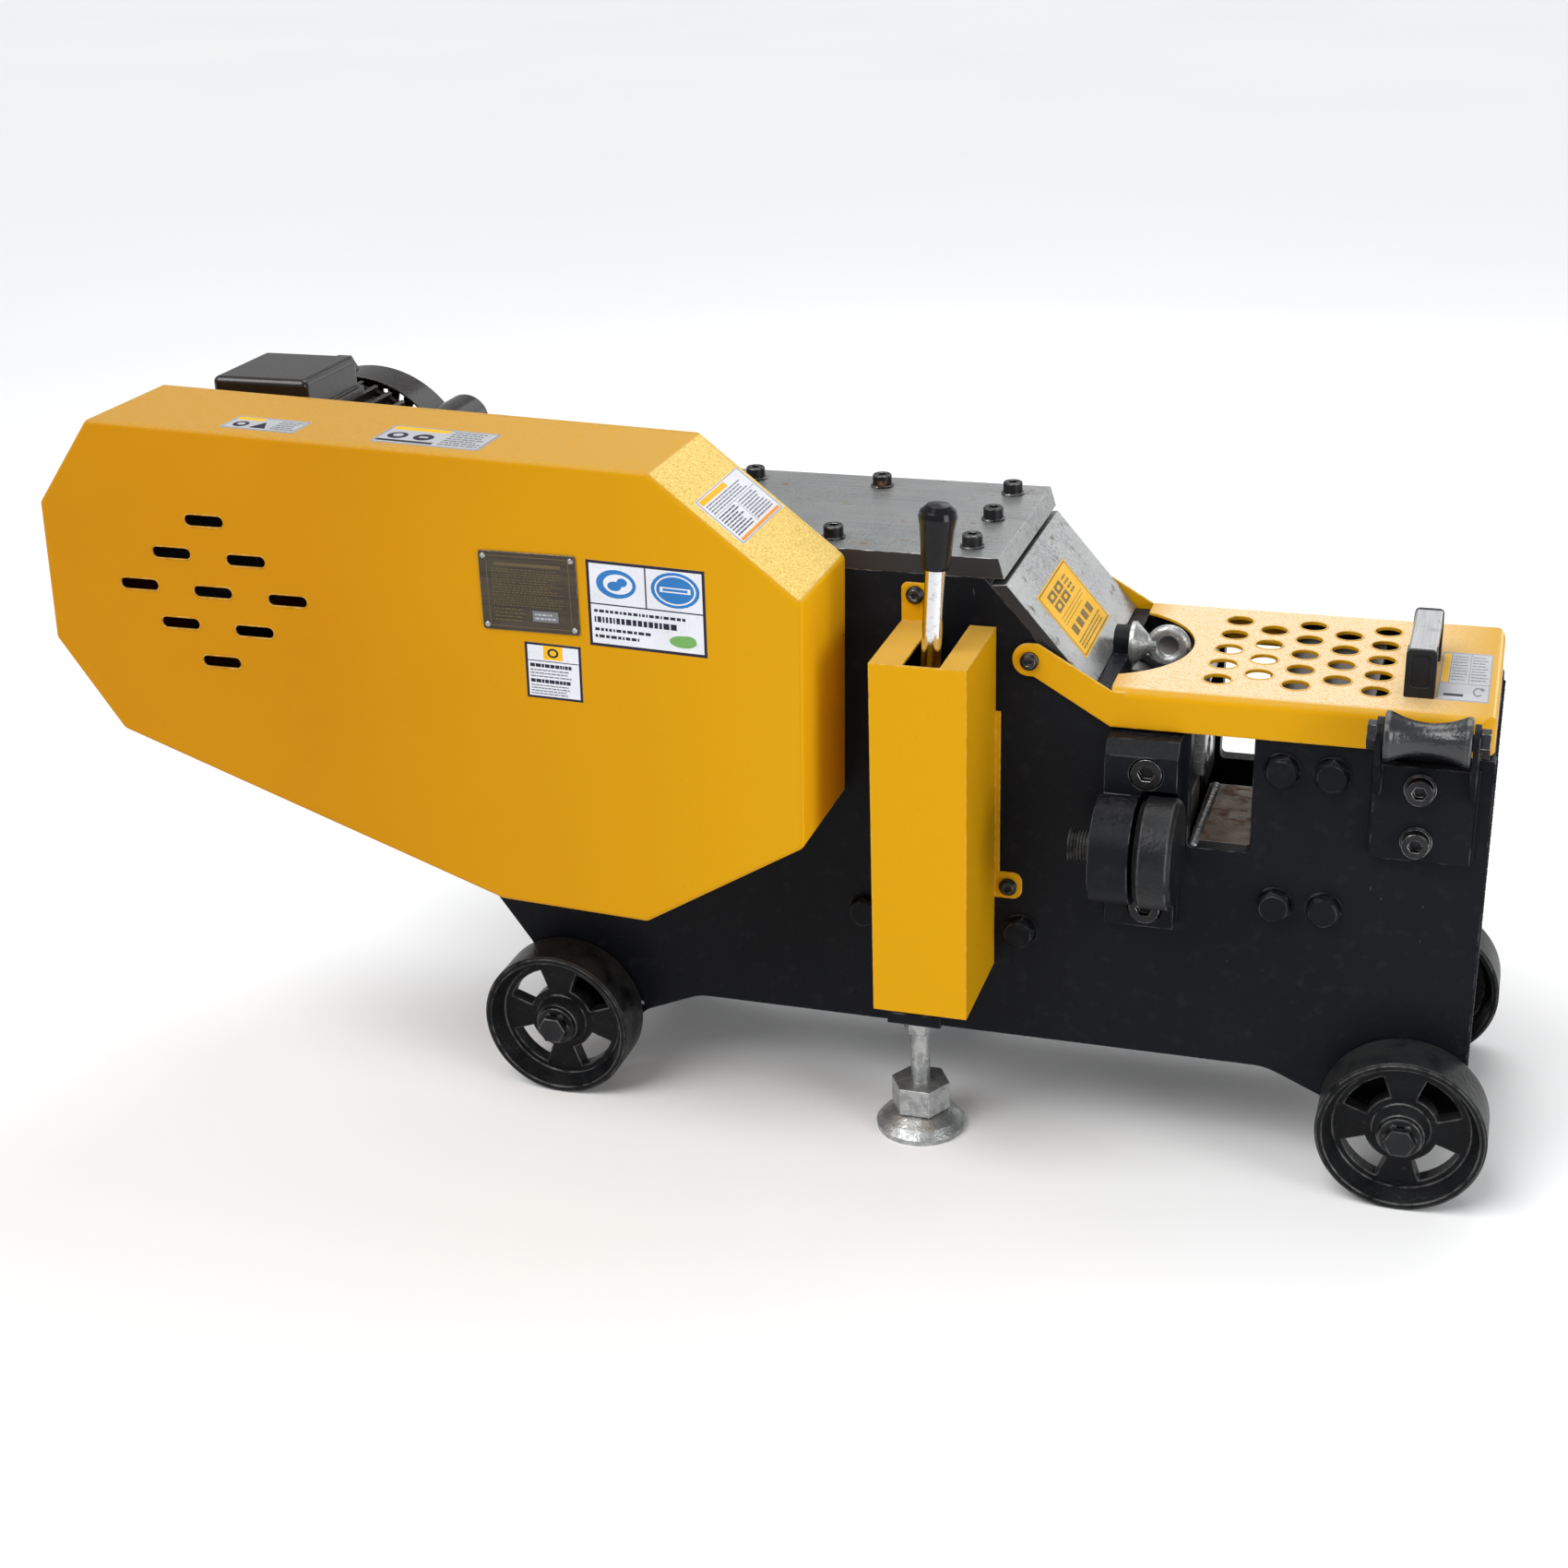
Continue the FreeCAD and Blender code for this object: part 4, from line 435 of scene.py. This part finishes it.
def dress_cad_nodes():
    """Give every CAD node its own finish, or that of its slot."""
    for part in frame["record"]["subparts"]:
        node = frame["nodes"][part["node"]]
        finish = SPECIAL_FINISHES.get(part["node"], MATERIALS[part["material_slot"]])
        node.data.materials.clear()
        node.data.materials.append(finish)


# ---- mesh tools ----------------------------------------------------------------------
def piece(name, bm, materials, body, smooth=False):
    """Turn a finished bmesh into an object that rides on a body."""
    mesh = bpy.data.meshes.new(name)
    bmesh.ops.recalc_face_normals(bm, faces=bm.faces)
    bm.to_mesh(mesh)
    bm.free()
    for material in materials:
        mesh.materials.append(material)
    for polygon in mesh.polygons:
        polygon.use_smooth = smooth
    obj = bpy.data.objects.new(name, mesh)
    bpy.context.scene.collection.objects.link(obj)
    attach(obj, body)


def slab(bm, corners, normal, low, high, index):
    """Closed thin prism over a planar outline, from one height to another, in metres."""
    base = [bm.verts.new(corner + normal * low) for corner in corners]
    top = [bm.verts.new(corner + normal * high) for corner in corners]
    faces = [bm.faces.new(base[::-1]), bm.faces.new(top)]
    count = len(corners)
    for i in range(count):
        j = (i + 1) % count
        faces.append(bm.faces.new((base[i], base[j], top[j], top[i])))
    for face in faces:
        face.material_index = index


ASKEW = Vector((0.31, 0.52, 0.79))              # not along any of the tubes


def tube(bm, path, radius, closed=False, sides=10, ripple=0.0, pitch=4.0):
    """Round bar along a path of points; a ripple, repeated at a pitch, makes a weld bead.

    The path and the radius are in metres, and the pitch is in millimetres."""
    rings = []
    count = len(path)
    travelled = 0.0
    for i, point in enumerate(path):
        before = path[i - 1] if i or closed else point
        after = path[(i + 1) % count] if closed or i + 1 < count else point
        tangent = (after - before).normalized()
        across = tangent.cross(ASKEW).normalized()
        up = across.cross(tangent).normalized()
        if i:
            travelled += (point - path[i - 1]).length * 1000
        size = radius * (1 + ripple * abs(math.sin(math.pi * travelled / pitch)))
        rings.append([bm.verts.new(point + (across * math.cos(a) + up * math.sin(a)) * size)
                      for a in (2 * math.pi * k / sides for k in range(sides))])
    last = count if closed else count - 1
    for i in range(last):
        ring, after = rings[i], rings[(i + 1) % count]
        for k in range(sides):
            n = (k + 1) % sides
            bm.faces.new((ring[k], ring[n], after[n], after[k]))
    if not closed:
        bm.faces.new(rings[0][::-1])
        bm.faces.new(rings[-1])


def stepped(start, end, step=1.6):
    """Points along a straight run, about a step apart, which is in millimetres."""
    count = max(2, int((end - start).length * 1000 / step))
    return [start.lerp(end, i / count) for i in range(count + 1)]


def circle(centre, u, v, radius, count=28):
    """Points round a circle in the plane of u and v, with its radius in metres."""
    angles = [2 * math.pi * i / count for i in range(count)]
    return [centre + (u * math.cos(a) + v * math.sin(a)) * radius for a in angles]


# ---- welds, lips and paint -------------------------------------------------------------
def frame_welds():
    """Seams where the cross plates and the feet's shelves meet the side plates."""
    front_x, rear_x, tray_z, floor_z = 509.5, -444.5, 464, 112
    seams = [((front_x, 128), (front_x, 456)), ((rear_x, 150), (rear_x, 600)),
             ((-845, tray_z), (-560, tray_z)), ((100, floor_z), (480, floor_z)),
             ((-280, floor_z), (90, floor_z))]
    shelf_reach, bead = 26, 0.0030
    bm = bmesh.new()
    for y in (-INNER_Y, INNER_Y):
        for (x0, z0), (x1, z1) in seams:
            tube(bm, stepped(at(x0, y, z0), at(x1, y, z1)), bead, ripple=0.22)
    for y in (-SIDE_Y - 0.3, SIDE_Y + 0.3):
        for z in (SHELF_HIGH + 0.2, SHELF_LOW - 0.2):
            path = stepped(at(FOOT_X - shelf_reach, y, z), at(FOOT_X + shelf_reach, y, z))
            tube(bm, path, bead, ripple=0.22)
    piece("frame_welds", bm, [MATERIALS["frame_black"]], "frame", True)


def bracket_welds():
    """Upright seams at the edges of the feed roller's and the bar stop's brackets."""
    roller_low, roller_high = box_mm("roller_bracket")
    stop_low, stop_high = box_mm("stop_bracket")
    seams = [(roller_low.x - 0.5, 360, 452), (roller_high.x + 0.5, 360, 452),
             (stop_low.x + 1.4, 262, 400), (stop_high.x - 1.4, 262, 298)]
    y = -SIDE_Y - 0.8
    bm = bmesh.new()
    for x, z0, z1 in seams:
        tube(bm, stepped(at(x, y, z0), at(x, y, z1)), 0.0026, ripple=0.25)
    piece("bracket_welds", bm, [MATERIALS["frame_black"]], "frame", True)


def throat_weld():
    """Bright, coarse bead across the floor of the bar throat."""
    low, high = box_mm("bar_rest_block")
    z = high.z - 0.4
    path = stepped(at(low.x + 4.5, 3 - SIDE_Y, z), at(low.x + 6.5, high.y - 4, z), 1.2)
    bm = bmesh.new()
    tube(bm, path, 0.0036, ripple=0.4, pitch=7.0)
    piece("throat_weld", bm, [MATERIALS["zinc"]], "frame", True)


def guard_hole_places():
    """X and Y of the lid's holes: five staggered columns of five and four."""
    first_x, column_pitch, row_pitch = 248, 37.0, 42.5
    for column in range(5):
        count = 5 if column % 2 == 0 else 4
        for i in range(count):
            yield first_x + column_pitch * column, (i - (count - 1) / 2) * row_pitch


def hole_lips():
    """Pressed lips round the blade guard's holes."""
    hole_radius, lip = 0.01395, 0.00105
    bm = bmesh.new()
    for x, y in guard_hole_places():
        ring = circle(at(x, y, LID_TOP_Z - 0.1), X_AXIS, Y_AXIS, hole_radius)
        tube(bm, ring, lip, closed=True, sides=8)
    piece("guard_hole_lips", bm, [MATERIALS["guard_yellow"]], "blade_guard", True)


def vent_lips():
    """Rolled lips round the belt guard's slots, which form a slightly leaning diamond."""
    middle_x, middle_z, slot_pitch, row_pitch, lean = -726.5, 583.0, 83.0, 37.0, -0.035
    half_length, end_radius = 16, 6.3
    bm = bmesh.new()
    for row, count in enumerate((1, 2, 3, 2, 1)):
        for i in range(count):
            across = (i - (count - 1) / 2) * slot_pitch
            x = middle_x + across
            z = middle_z + (2 - row) * row_pitch + lean * across
            path = []
            for centre, first in ((x + half_length, -90), (x - half_length, 90)):
                for k in range(9):
                    a = math.radians(first + 22.5 * k)
                    path.append(at(centre + end_radius * math.cos(a), GUARD_FACE_Y + 0.2,
                                   z + end_radius * math.sin(a)))
            tube(bm, path, 0.0008, closed=True, sides=8)
    piece("guard_vent_lips", bm, [MATERIALS["guard_yellow"]], "frame", True)


def paint_fillets():
    """Thick paint that has run round the heads of the bolts in the side plates."""
    head_radius, fillet = 0.0172, 0.0014
    bm = bmesh.new()
    for x, z in SIDE_BOLTS:
        for y in (-SIDE_Y, SIDE_Y):
            ring = circle(at(x, y, z), X_AXIS, Z_AXIS, head_radius, 36)
            tube(bm, ring, fillet, closed=True, sides=8)
    piece("bolt_paint_fillets", bm, [MATERIALS["frame_black"]], "frame", True)


# ---- labels -----------------------------------------------------------------------------
CARD_T = 0.00022             # metres, as in the next three lines
PRINT_LOW, PRINT_HIGH = 0.00016, 0.00026
PRINT_STEP = 0.0000015       # each item of print stands this much above the one before
CARD_CORNER = 0.002


def text_rows(rng, x0, y0, x1, y1, rows, tone, fill, longest):
    """Rows of short dashes that stand for small print; fill is how much of a row they take."""
    items = []
    pitch = (y1 - y0) / rows
    for row in range(rows):
        y = y1 - (row + 0.5) * pitch
        x = x0
        end = x0 + (x1 - x0) * rng.uniform(0.75, 1.0)
        while x < end:
            width = rng.uniform(0.25, 1.0) * longest
            stop = min(x + width, end)
            items.append(("bar", x, y - pitch * fill / 2, stop, y + pitch * fill / 2, tone))
            x = stop + 0.012
    return items


def frame_lines(x0, y0, x1, y1, tone, wx, wy):
    """Four bars round a rectangle; wx and wy are the widths of upright and level ones."""
    return [("bar", x0, y0, x1, y0 + wy, tone), ("bar", x0, y1 - wy, x1, y1, tone),
            ("bar", x0, y0 + wy, x0 + wx, y1 - wy, tone), ("bar", x1 - wx, y0 + wy, x1, y1 - wy, tone)]


def corners_of(point, item):
    """Outline of a printed bar, disc or polygon, through the card's point function."""
    if item[0] == "bar":
        x0, y0, x1, y1 = item[1:5]
        return [point(x0, y0), point(x1, y0), point(x1, y1), point(x0, y1)]
    if item[0] == "disc":
        cx, cy, a, b = item[1:5]
        angles = [2 * math.pi * k / 24 for k in range(24)]
        return [point(cx + a * math.cos(t), cy + b * math.sin(t)) for t in angles]
    return [point(x, y) for x, y in item[1]]


def label(name, low_left, low_right, top_left, card, items, body="frame"):
    """Thin card on three corners with raised printing; items use fractions of its size."""
    u = low_right - low_left
    v = top_left - low_left
    normal = u.cross(v).normalized()
    tones = [card] + sorted({item[-1] for item in items} - {card})
    bm = bmesh.new()

    def point(x, y):
        return low_left + u * x + v * y

    rx, ry = CARD_CORNER / u.length, CARD_CORNER / v.length
    outline = []
    for cx, cy, first in ((1 - rx, 1 - ry, 0), (rx, 1 - ry, 90), (rx, ry, 180), (1 - rx, ry, 270)):
        for k in range(4):
            a = math.radians(first + 30 * k)
            outline.append(point(cx + rx * math.cos(a), cy + ry * math.sin(a)))
    slab(bm, outline, normal, 0.0, CARD_T, 0)
    for level, item in enumerate(items):
        high = PRINT_HIGH + PRINT_STEP * level
        slab(bm, corners_of(point, item), normal, PRINT_LOW, high, tones.index(item[-1]))
    piece(name, bm, [INKS[tone] for tone in tones], body)


def nameplate_print():
    """Etched border, heading, rows and a cleared field on the nameplate."""
    rng = random.Random(5)
    items = frame_lines(0.0, 0.0, 1.0, 1.0, "gold", 0.010, 0.012)
    items += [("bar", 0.10, 0.86, 0.90, 0.905, "gold")]
    items += text_rows(rng, 0.06, 0.29, 0.94, 0.83, 15, "gold", 0.42, 0.05)
    items += text_rows(rng, 0.07, 0.07, 0.48, 0.28, 4, "gold", 0.34, 0.07)
    items += [("bar", 0.53, 0.10, 0.84, 0.25, "grey")]
    items += text_rows(rng, 0.56, 0.12, 0.82, 0.23, 2, "pale", 0.4, 0.06)
    low_left = at(PLATE_LOW.x + 7.5, PLATE_FACE_Y, PLATE_LOW.z + 4)
    size = at(PLATE_HIGH.x - 7.5, PLATE_FACE_Y, PLATE_HIGH.z - 4) - low_left
    tones = sorted({item[-1] for item in items})
    bm = bmesh.new()

    def point(x, y):
        return low_left + Vector((size.x * x, 0.0, size.z * y))

    for level, item in enumerate(items):
        high = 0.00008 + PRINT_STEP * level
        slab(bm, corners_of(point, item), -Y_AXIS, -0.00005, high, tones.index(item[-1]))
    piece("nameplate_print", bm, [INKS[tone] for tone in tones], "frame")


def nameplate_rivet_caps():
    """Low domes over the rivets in the nameplate's corners."""
    profile = ((0.9, 0.0030), (1.3, 0.0028), (1.7, 0.0019), (1.9, 0.0008))
    sides = 16
    bm = bmesh.new()
    for x in (PLATE_LOW.x + 5, PLATE_HIGH.x - 5):
        for z in (PLATE_LOW.z + 5, PLATE_HIGH.z - 5):
            rings = []
            for height, radius in profile:
                ring = circle(at(x, PLATE_FACE_Y - height, z), X_AXIS, Z_AXIS, radius, sides)
                rings.append([bm.verts.new(point) for point in ring])
            for ring, after in zip(rings, rings[1:]):
                for k in range(sides):
                    n = (k + 1) % sides
                    bm.faces.new((ring[k], ring[n], after[n], after[k]))
            bm.faces.new(rings[0][::-1])
            bm.faces.new(rings[-1])
    piece("nameplate_rivet_caps", bm, [MATERIALS["zinc"]], "frame", True)


def on_slope(line, x, y, lift=0.05):
    """Point on a sloping face that is given by the X and Z of its two ends."""
    (x0, z0), (x1, z1) = line
    return at(x, y, z0 + (z1 - z0) * (x - x0) / (x1 - x0) + lift)


def slope_label(name, line, low, high, near, far, card, items, lift=0.05):
    """Label on a sloping face, from X low to X high and from Y near to Y far."""
    label(name, on_slope(line, low, near, lift), on_slope(line, low, far, lift),
          on_slope(line, high, near, lift), card, items)


def certificate_label():
    """White card with two round emblems over three bands of print."""
    rng = random.Random(11)
    items = frame_lines(0.0, 0.0, 1.0, 1.0, "dark", 0.024, 0.034)
    items += [("bar", 0.015, 0.49, 0.985, 0.505, "dark"), ("bar", 0.494, 0.50, 0.506, 0.98, "dark"),
              ("disc", 0.25, 0.745, 0.17, 0.165, "blue"), ("disc", 0.265, 0.745, 0.125, 0.115, "white"),
              ("disc", 0.235, 0.72, 0.06, 0.055, "blue"), ("disc", 0.30, 0.77, 0.045, 0.05, "blue"),
              ("disc", 0.75, 0.745, 0.205, 0.205, "blue"), ("disc", 0.75, 0.745, 0.175, 0.172, "white"),
              ("disc", 0.75, 0.745, 0.16, 0.155, "blue"), ("bar", 0.62, 0.715, 0.88, 0.775, "white"),
              ("bar", 0.645, 0.73, 0.855, 0.76, "blue")]
    items += text_rows(rng, 0.05, 0.36, 0.95, 0.47, 1, "dark", 0.30, 0.045)
    items += text_rows(rng, 0.05, 0.26, 0.95, 0.37, 1, "dark", 0.62, 0.05)
    items += text_rows(rng, 0.05, 0.08, 0.55, 0.24, 2, "dark", 0.42, 0.05)
    items += [("disc", 0.80, 0.155, 0.115, 0.07, "green"), ("disc", 0.84, 0.18, 0.07, 0.05, "green")]
    y = GUARD_FACE_Y
    label("certificate_label", at(-322.5, y, 560.5), at(-204.5, y, 556.5), at(-322.0, y, 646.0),
          "white", items)


def instruction_label():
    """Small white card with a yellow emblem over lines of print."""
    rng = random.Random(17)
    items = frame_lines(0.0, 0.0, 1.0, 1.0, "dark", 0.045, 0.042)
    items += [("bar", 0.02, 0.67, 0.98, 0.685, "dark"), ("bar", 0.33, 0.71, 0.67, 0.96, "yellow"),
              ("disc", 0.50, 0.835, 0.10, 0.085, "dark"), ("disc", 0.50, 0.835, 0.06, 0.05, "yellow")]
    items += text_rows(rng, 0.08, 0.55, 0.92, 0.64, 1, "dark", 0.7, 0.10)
    items += text_rows(rng, 0.08, 0.37, 0.92, 0.54, 3, "grey", 0.4, 0.09)
    items += text_rows(rng, 0.08, 0.27, 0.92, 0.36, 1, "dark", 0.7, 0.10)
    items += text_rows(rng, 0.08, 0.06, 0.92, 0.26, 4, "grey", 0.4, 0.09)
    y = GUARD_FACE_Y
    label("instruction_label", at(-392, y, 501.5), at(-334, y, 500), at(-391, y, 558.5), "white", items)


def top_stickers():
    """The two hazard stickers on top of the belt guard."""
    rng = random.Random(23)
    near = -250.5
    items = frame_lines(0.02, 0.03, 0.98, 0.97, "grey", 0.012, 0.03)
    triangle = [(0.36, 0.16), (0.58, 0.16), (0.47, 0.66)]
    items += [("bar", 0.04, 0.72, 0.40, 0.94, "yellow"), ("disc", 0.20, 0.38, 0.10, 0.22, "dark"),
              ("disc", 0.20, 0.40, 0.05, 0.10, "pale"), ("poly", triangle, "dark")]
    items += text_rows(rng, 0.64, 0.14, 0.95, 0.88, 5, "grey", 0.45, 0.08)
    label("top_sticker_rear", on_slope(GUARD_TOP, -707.6, near), on_slope(GUARD_TOP, -627.5, near),
          on_slope(GUARD_TOP, -707.6, -208.5), "pale", items)
    items = frame_lines(0.01, 0.02, 0.99, 0.98, "grey", 0.01, 0.02)
    items += [("bar", 0.03, 0.78, 0.55, 0.95, "yellow"), ("disc", 0.16, 0.45, 0.09, 0.18, "dark"),
              ("disc", 0.16, 0.47, 0.045, 0.09, "pale"), ("disc", 0.40, 0.45, 0.09, 0.18, "dark"),
              ("bar", 0.36, 0.42, 0.44, 0.50, "pale"), ("bar", 0.03, 0.10, 0.55, 0.20, "dark")]
    items += text_rows(rng, 0.60, 0.10, 0.96, 0.92, 7, "grey", 0.45, 0.07)
    label("top_sticker_middle", on_slope(GUARD_TOP, -546.0, near), on_slope(GUARD_TOP, -433.0, near),
          on_slope(GUARD_TOP, -546.0, -192.0), "pale", items)


def chamfer_sticker():
    """Table of print on the belt guard's long chamfer."""
    rng = random.Random(29)
    items = frame_lines(0.015, 0.01, 0.985, 0.99, "grey", 0.012, 0.01)
    items += [("bar", 0.05, 0.86, 0.62, 0.96, "yellow"), ("bar", 0.05, 0.60, 0.95, 0.61, "grey"),
              ("bar", 0.50, 0.12, 0.508, 0.60, "grey")]
    items += text_rows(rng, 0.07, 0.63, 0.93, 0.84, 4, "grey", 0.45, 0.09)
    items += text_rows(rng, 0.07, 0.13, 0.47, 0.58, 8, "dark", 0.40, 0.08)
    items += text_rows(rng, 0.53, 0.13, 0.93, 0.58, 8, "grey", 0.40, 0.08)
    items += [("bar", 0.05, 0.04, 0.95, 0.09, "orange")]
    slope_label("chamfer_sticker", GUARD_CHAMFER, -170.5, -217.0, -252.5, -129.5, "white", items)


def slope_sticker():
    """Yellow card with four pictures and rows of print on the sloped cover."""
    rng = random.Random(31)
    items = frame_lines(0.02, 0.02, 0.98, 0.98, "brown", 0.012, 0.018)
    for column in range(2):
        for row in range(2):
            x, y = 0.17 + 0.24 * column, 0.62 + 0.15 * row
            items.append(("bar", x, y, x + 0.20, y + 0.12, "brown"))
            items.append(("disc", x + 0.10, y + 0.06, 0.045, 0.03, "yellow"))
    items += text_rows(rng, 0.67, 0.62, 0.85, 0.89, 4, "brown", 0.5, 0.09)
    items += text_rows(rng, 0.12, 0.44, 0.88, 0.58, 3, "brown", 0.2, 0.08)
    items += [("bar", 0.16 + 0.18 * k, 0.26, 0.28 + 0.18 * k, 0.39, "brown") for k in range(4)]
    items += text_rows(rng, 0.10, 0.07, 0.90, 0.21, 3, "brown", 0.4, 0.08)
    slope_label("slope_sticker", SLOPED_COVER, 120.5, 70.5, -84.0, 42.0, "yellow", items, 0.1)


def open_ring(cx, cy, rx, ry, inner, first, turn, tone, steps=14):
    """Four-sided pieces of an open ring, from an angle in degrees and over a turn."""
    angles = [math.radians(first + turn * k / steps) for k in range(steps + 1)]
    outside = [(cx + rx * math.cos(a), cy + ry * math.sin(a)) for a in angles]
    inside = [(cx + inner * rx * math.cos(a), cy + inner * ry * math.sin(a)) for a in angles]
    return [("poly", [outside[k], outside[k + 1], inside[k + 1], inside[k]], tone) for k in range(steps)]


def guard_labels():
    """Safety card on top of the blade guard's lid, and a strip of print on its front."""
    rng = random.Random(37)
    items = frame_lines(0.01, 0.01, 0.99, 0.99, "grey", 0.01, 0.008)
    arrow_head = [(0.84, 0.30), (0.92, 0.25), (0.84, 0.22)]
    items += [("bar", 0.03, 0.36, 0.17, 0.97, "yellow"), ("bar", 0.02, 0.34, 0.98, 0.348, "grey"),
              ("bar", 0.18, 0.36, 0.19, 0.97, "grey"), ("bar", 0.57, 0.36, 0.58, 0.97, "grey"),
              ("bar", 0.12, 0.09, 0.50, 0.14, "dark"), ("poly", arrow_head, "grey")]
    items += open_ring(0.78, 0.20, 0.10, 0.09, 0.7, 40, 280, "grey")
    items += text_rows(rng, 0.22, 0.40, 0.54, 0.94, 9, "grey", 0.25, 0.07)
    items += text_rows(rng, 0.61, 0.40, 0.95, 0.94, 9, "grey", 0.25, 0.07)
    near, far = -92, 39
    z = LID_TOP_Z + 0.05
    label("guard_label_top", at(452, near, z), at(499, near, z), at(452, far, z), "pale", items,
          "blade_guard")
    items = frame_lines(0.01, 0.02, 0.99, 0.98, "grey", 0.008, 0.03)
    items += text_rows(rng, 0.06, 0.15, 0.94, 0.85, 3, "grey", 0.35, 0.06)
    near, x = -86, LID_FRONT + 0.05
    label("guard_label_front", at(x, near, 478), at(x, far, 478), at(x, near, 495.5), "pale", items,
          "blade_guard")


# ---- camera, lights, floor ----------------------------------------------------------------
def camera():
    """The photograph's viewpoint; the angles are in radians."""
    yaw, pitch, roll = 0.317, 0.410, -0.032
    level = math.cos(pitch)
    forward = Vector((-math.sin(yaw) * level, math.cos(yaw) * level, -math.sin(pitch)))
    right = Vector((math.cos(yaw), math.sin(yaw), 0.0))
    up = right.cross(forward)
    turned_right = right * math.cos(roll) + up * math.sin(roll)
    turned_up = up * math.cos(roll) - right * math.sin(roll)
    data = bpy.data.cameras.new("camera")
    data.lens = 53.95
    data.sensor_width = 36.0
    data.shift_x = -0.0017
    data.clip_start = 0.05
    data.clip_end = 200.0
    obj = bpy.data.objects.new("camera", data)
    matrix = Matrix((turned_right, turned_up, -forward)).transposed().to_4x4()
    matrix.translation = at(508.35, -2216.05, 1325.95)
    obj.matrix_world = matrix
    bpy.context.scene.collection.objects.link(obj)
    bpy.context.scene.camera = obj


def light(name, kind, place, target, size, power):
    """Light in metres of the frame; a sun's size is an angle, another's a diameter."""
    data = bpy.data.lights.new(name, kind)
    data.energy = power
    if kind == "SUN":
        data.angle = size
    else:
        data.shape = "DISK"
        data.size = size
    obj = bpy.data.objects.new(name, data)
    obj.location = place
    obj.rotation_euler = (Vector(target) - Vector(place)).to_track_quat("-Z", "Y").to_euler()
    obj.visible_camera = False
    bpy.context.scene.collection.objects.link(obj)


def studio():
    """Soft daylight with a bright, even surrounding."""
    light("key", "SUN", (-2.4, -3.0, 5.2), (0.0, 0.0, 0.0), 0.75, 2.5)
    light("top", "AREA", (0.2, 1.4, 3.2), (0.1, 0.0, 0.4), 2.2, 42)
    light("sheen", "AREA", (1.6, 3.0, 1.2), (0.3, 0.0, 0.5), 1.3, 7)
    light("glare", "AREA", (0.35, 3.2, 1.9), (0.5, 0.0, 0.5), 1.6, 6)
    light("fill", "AREA", (3.2, -1.6, 1.1), (0.3, -0.2, 0.4), 1.6, 42)
    world = bpy.data.worlds.new("studio")
    world.use_nodes = True
    background = world.node_tree.nodes["Background"]
    background.inputs["Color"].default_value = (0.97, 0.98, 1.0, 1.0)
    background.inputs["Strength"].default_value = 0.45
    bpy.context.scene.world = world
    bpy.context.scene.view_settings.view_transform = "Standard"


def floor():
    """Pale floor that reaches 30 metres each way."""
    bm = bmesh.new()
    bmesh.ops.create_grid(bm, x_segments=8, y_segments=8, size=30.0)
    mesh = bpy.data.meshes.new("studio_floor")
    bm.to_mesh(mesh)
    bm.free()
    s = Surface("floor_paper", (0.86, 0.86, 0.86), 0.75)
    s.layer(s.noise(0.6, 0.3, 0.7), (0.83, 0.835, 0.84), 0.8)
    mesh.materials.append(s.done())
    obj = bpy.data.objects.new("studio_floor", mesh)
    bpy.context.scene.collection.objects.link(obj)


dress_cad_nodes()
frame_welds()
bracket_welds()
throat_weld()
hole_lips()
vent_lips()
paint_fillets()
nameplate_print()
nameplate_rivet_caps()
certificate_label()
instruction_label()
top_stickers()
chamfer_sticker()
slope_sticker()
guard_labels()
camera()
studio()
floor()
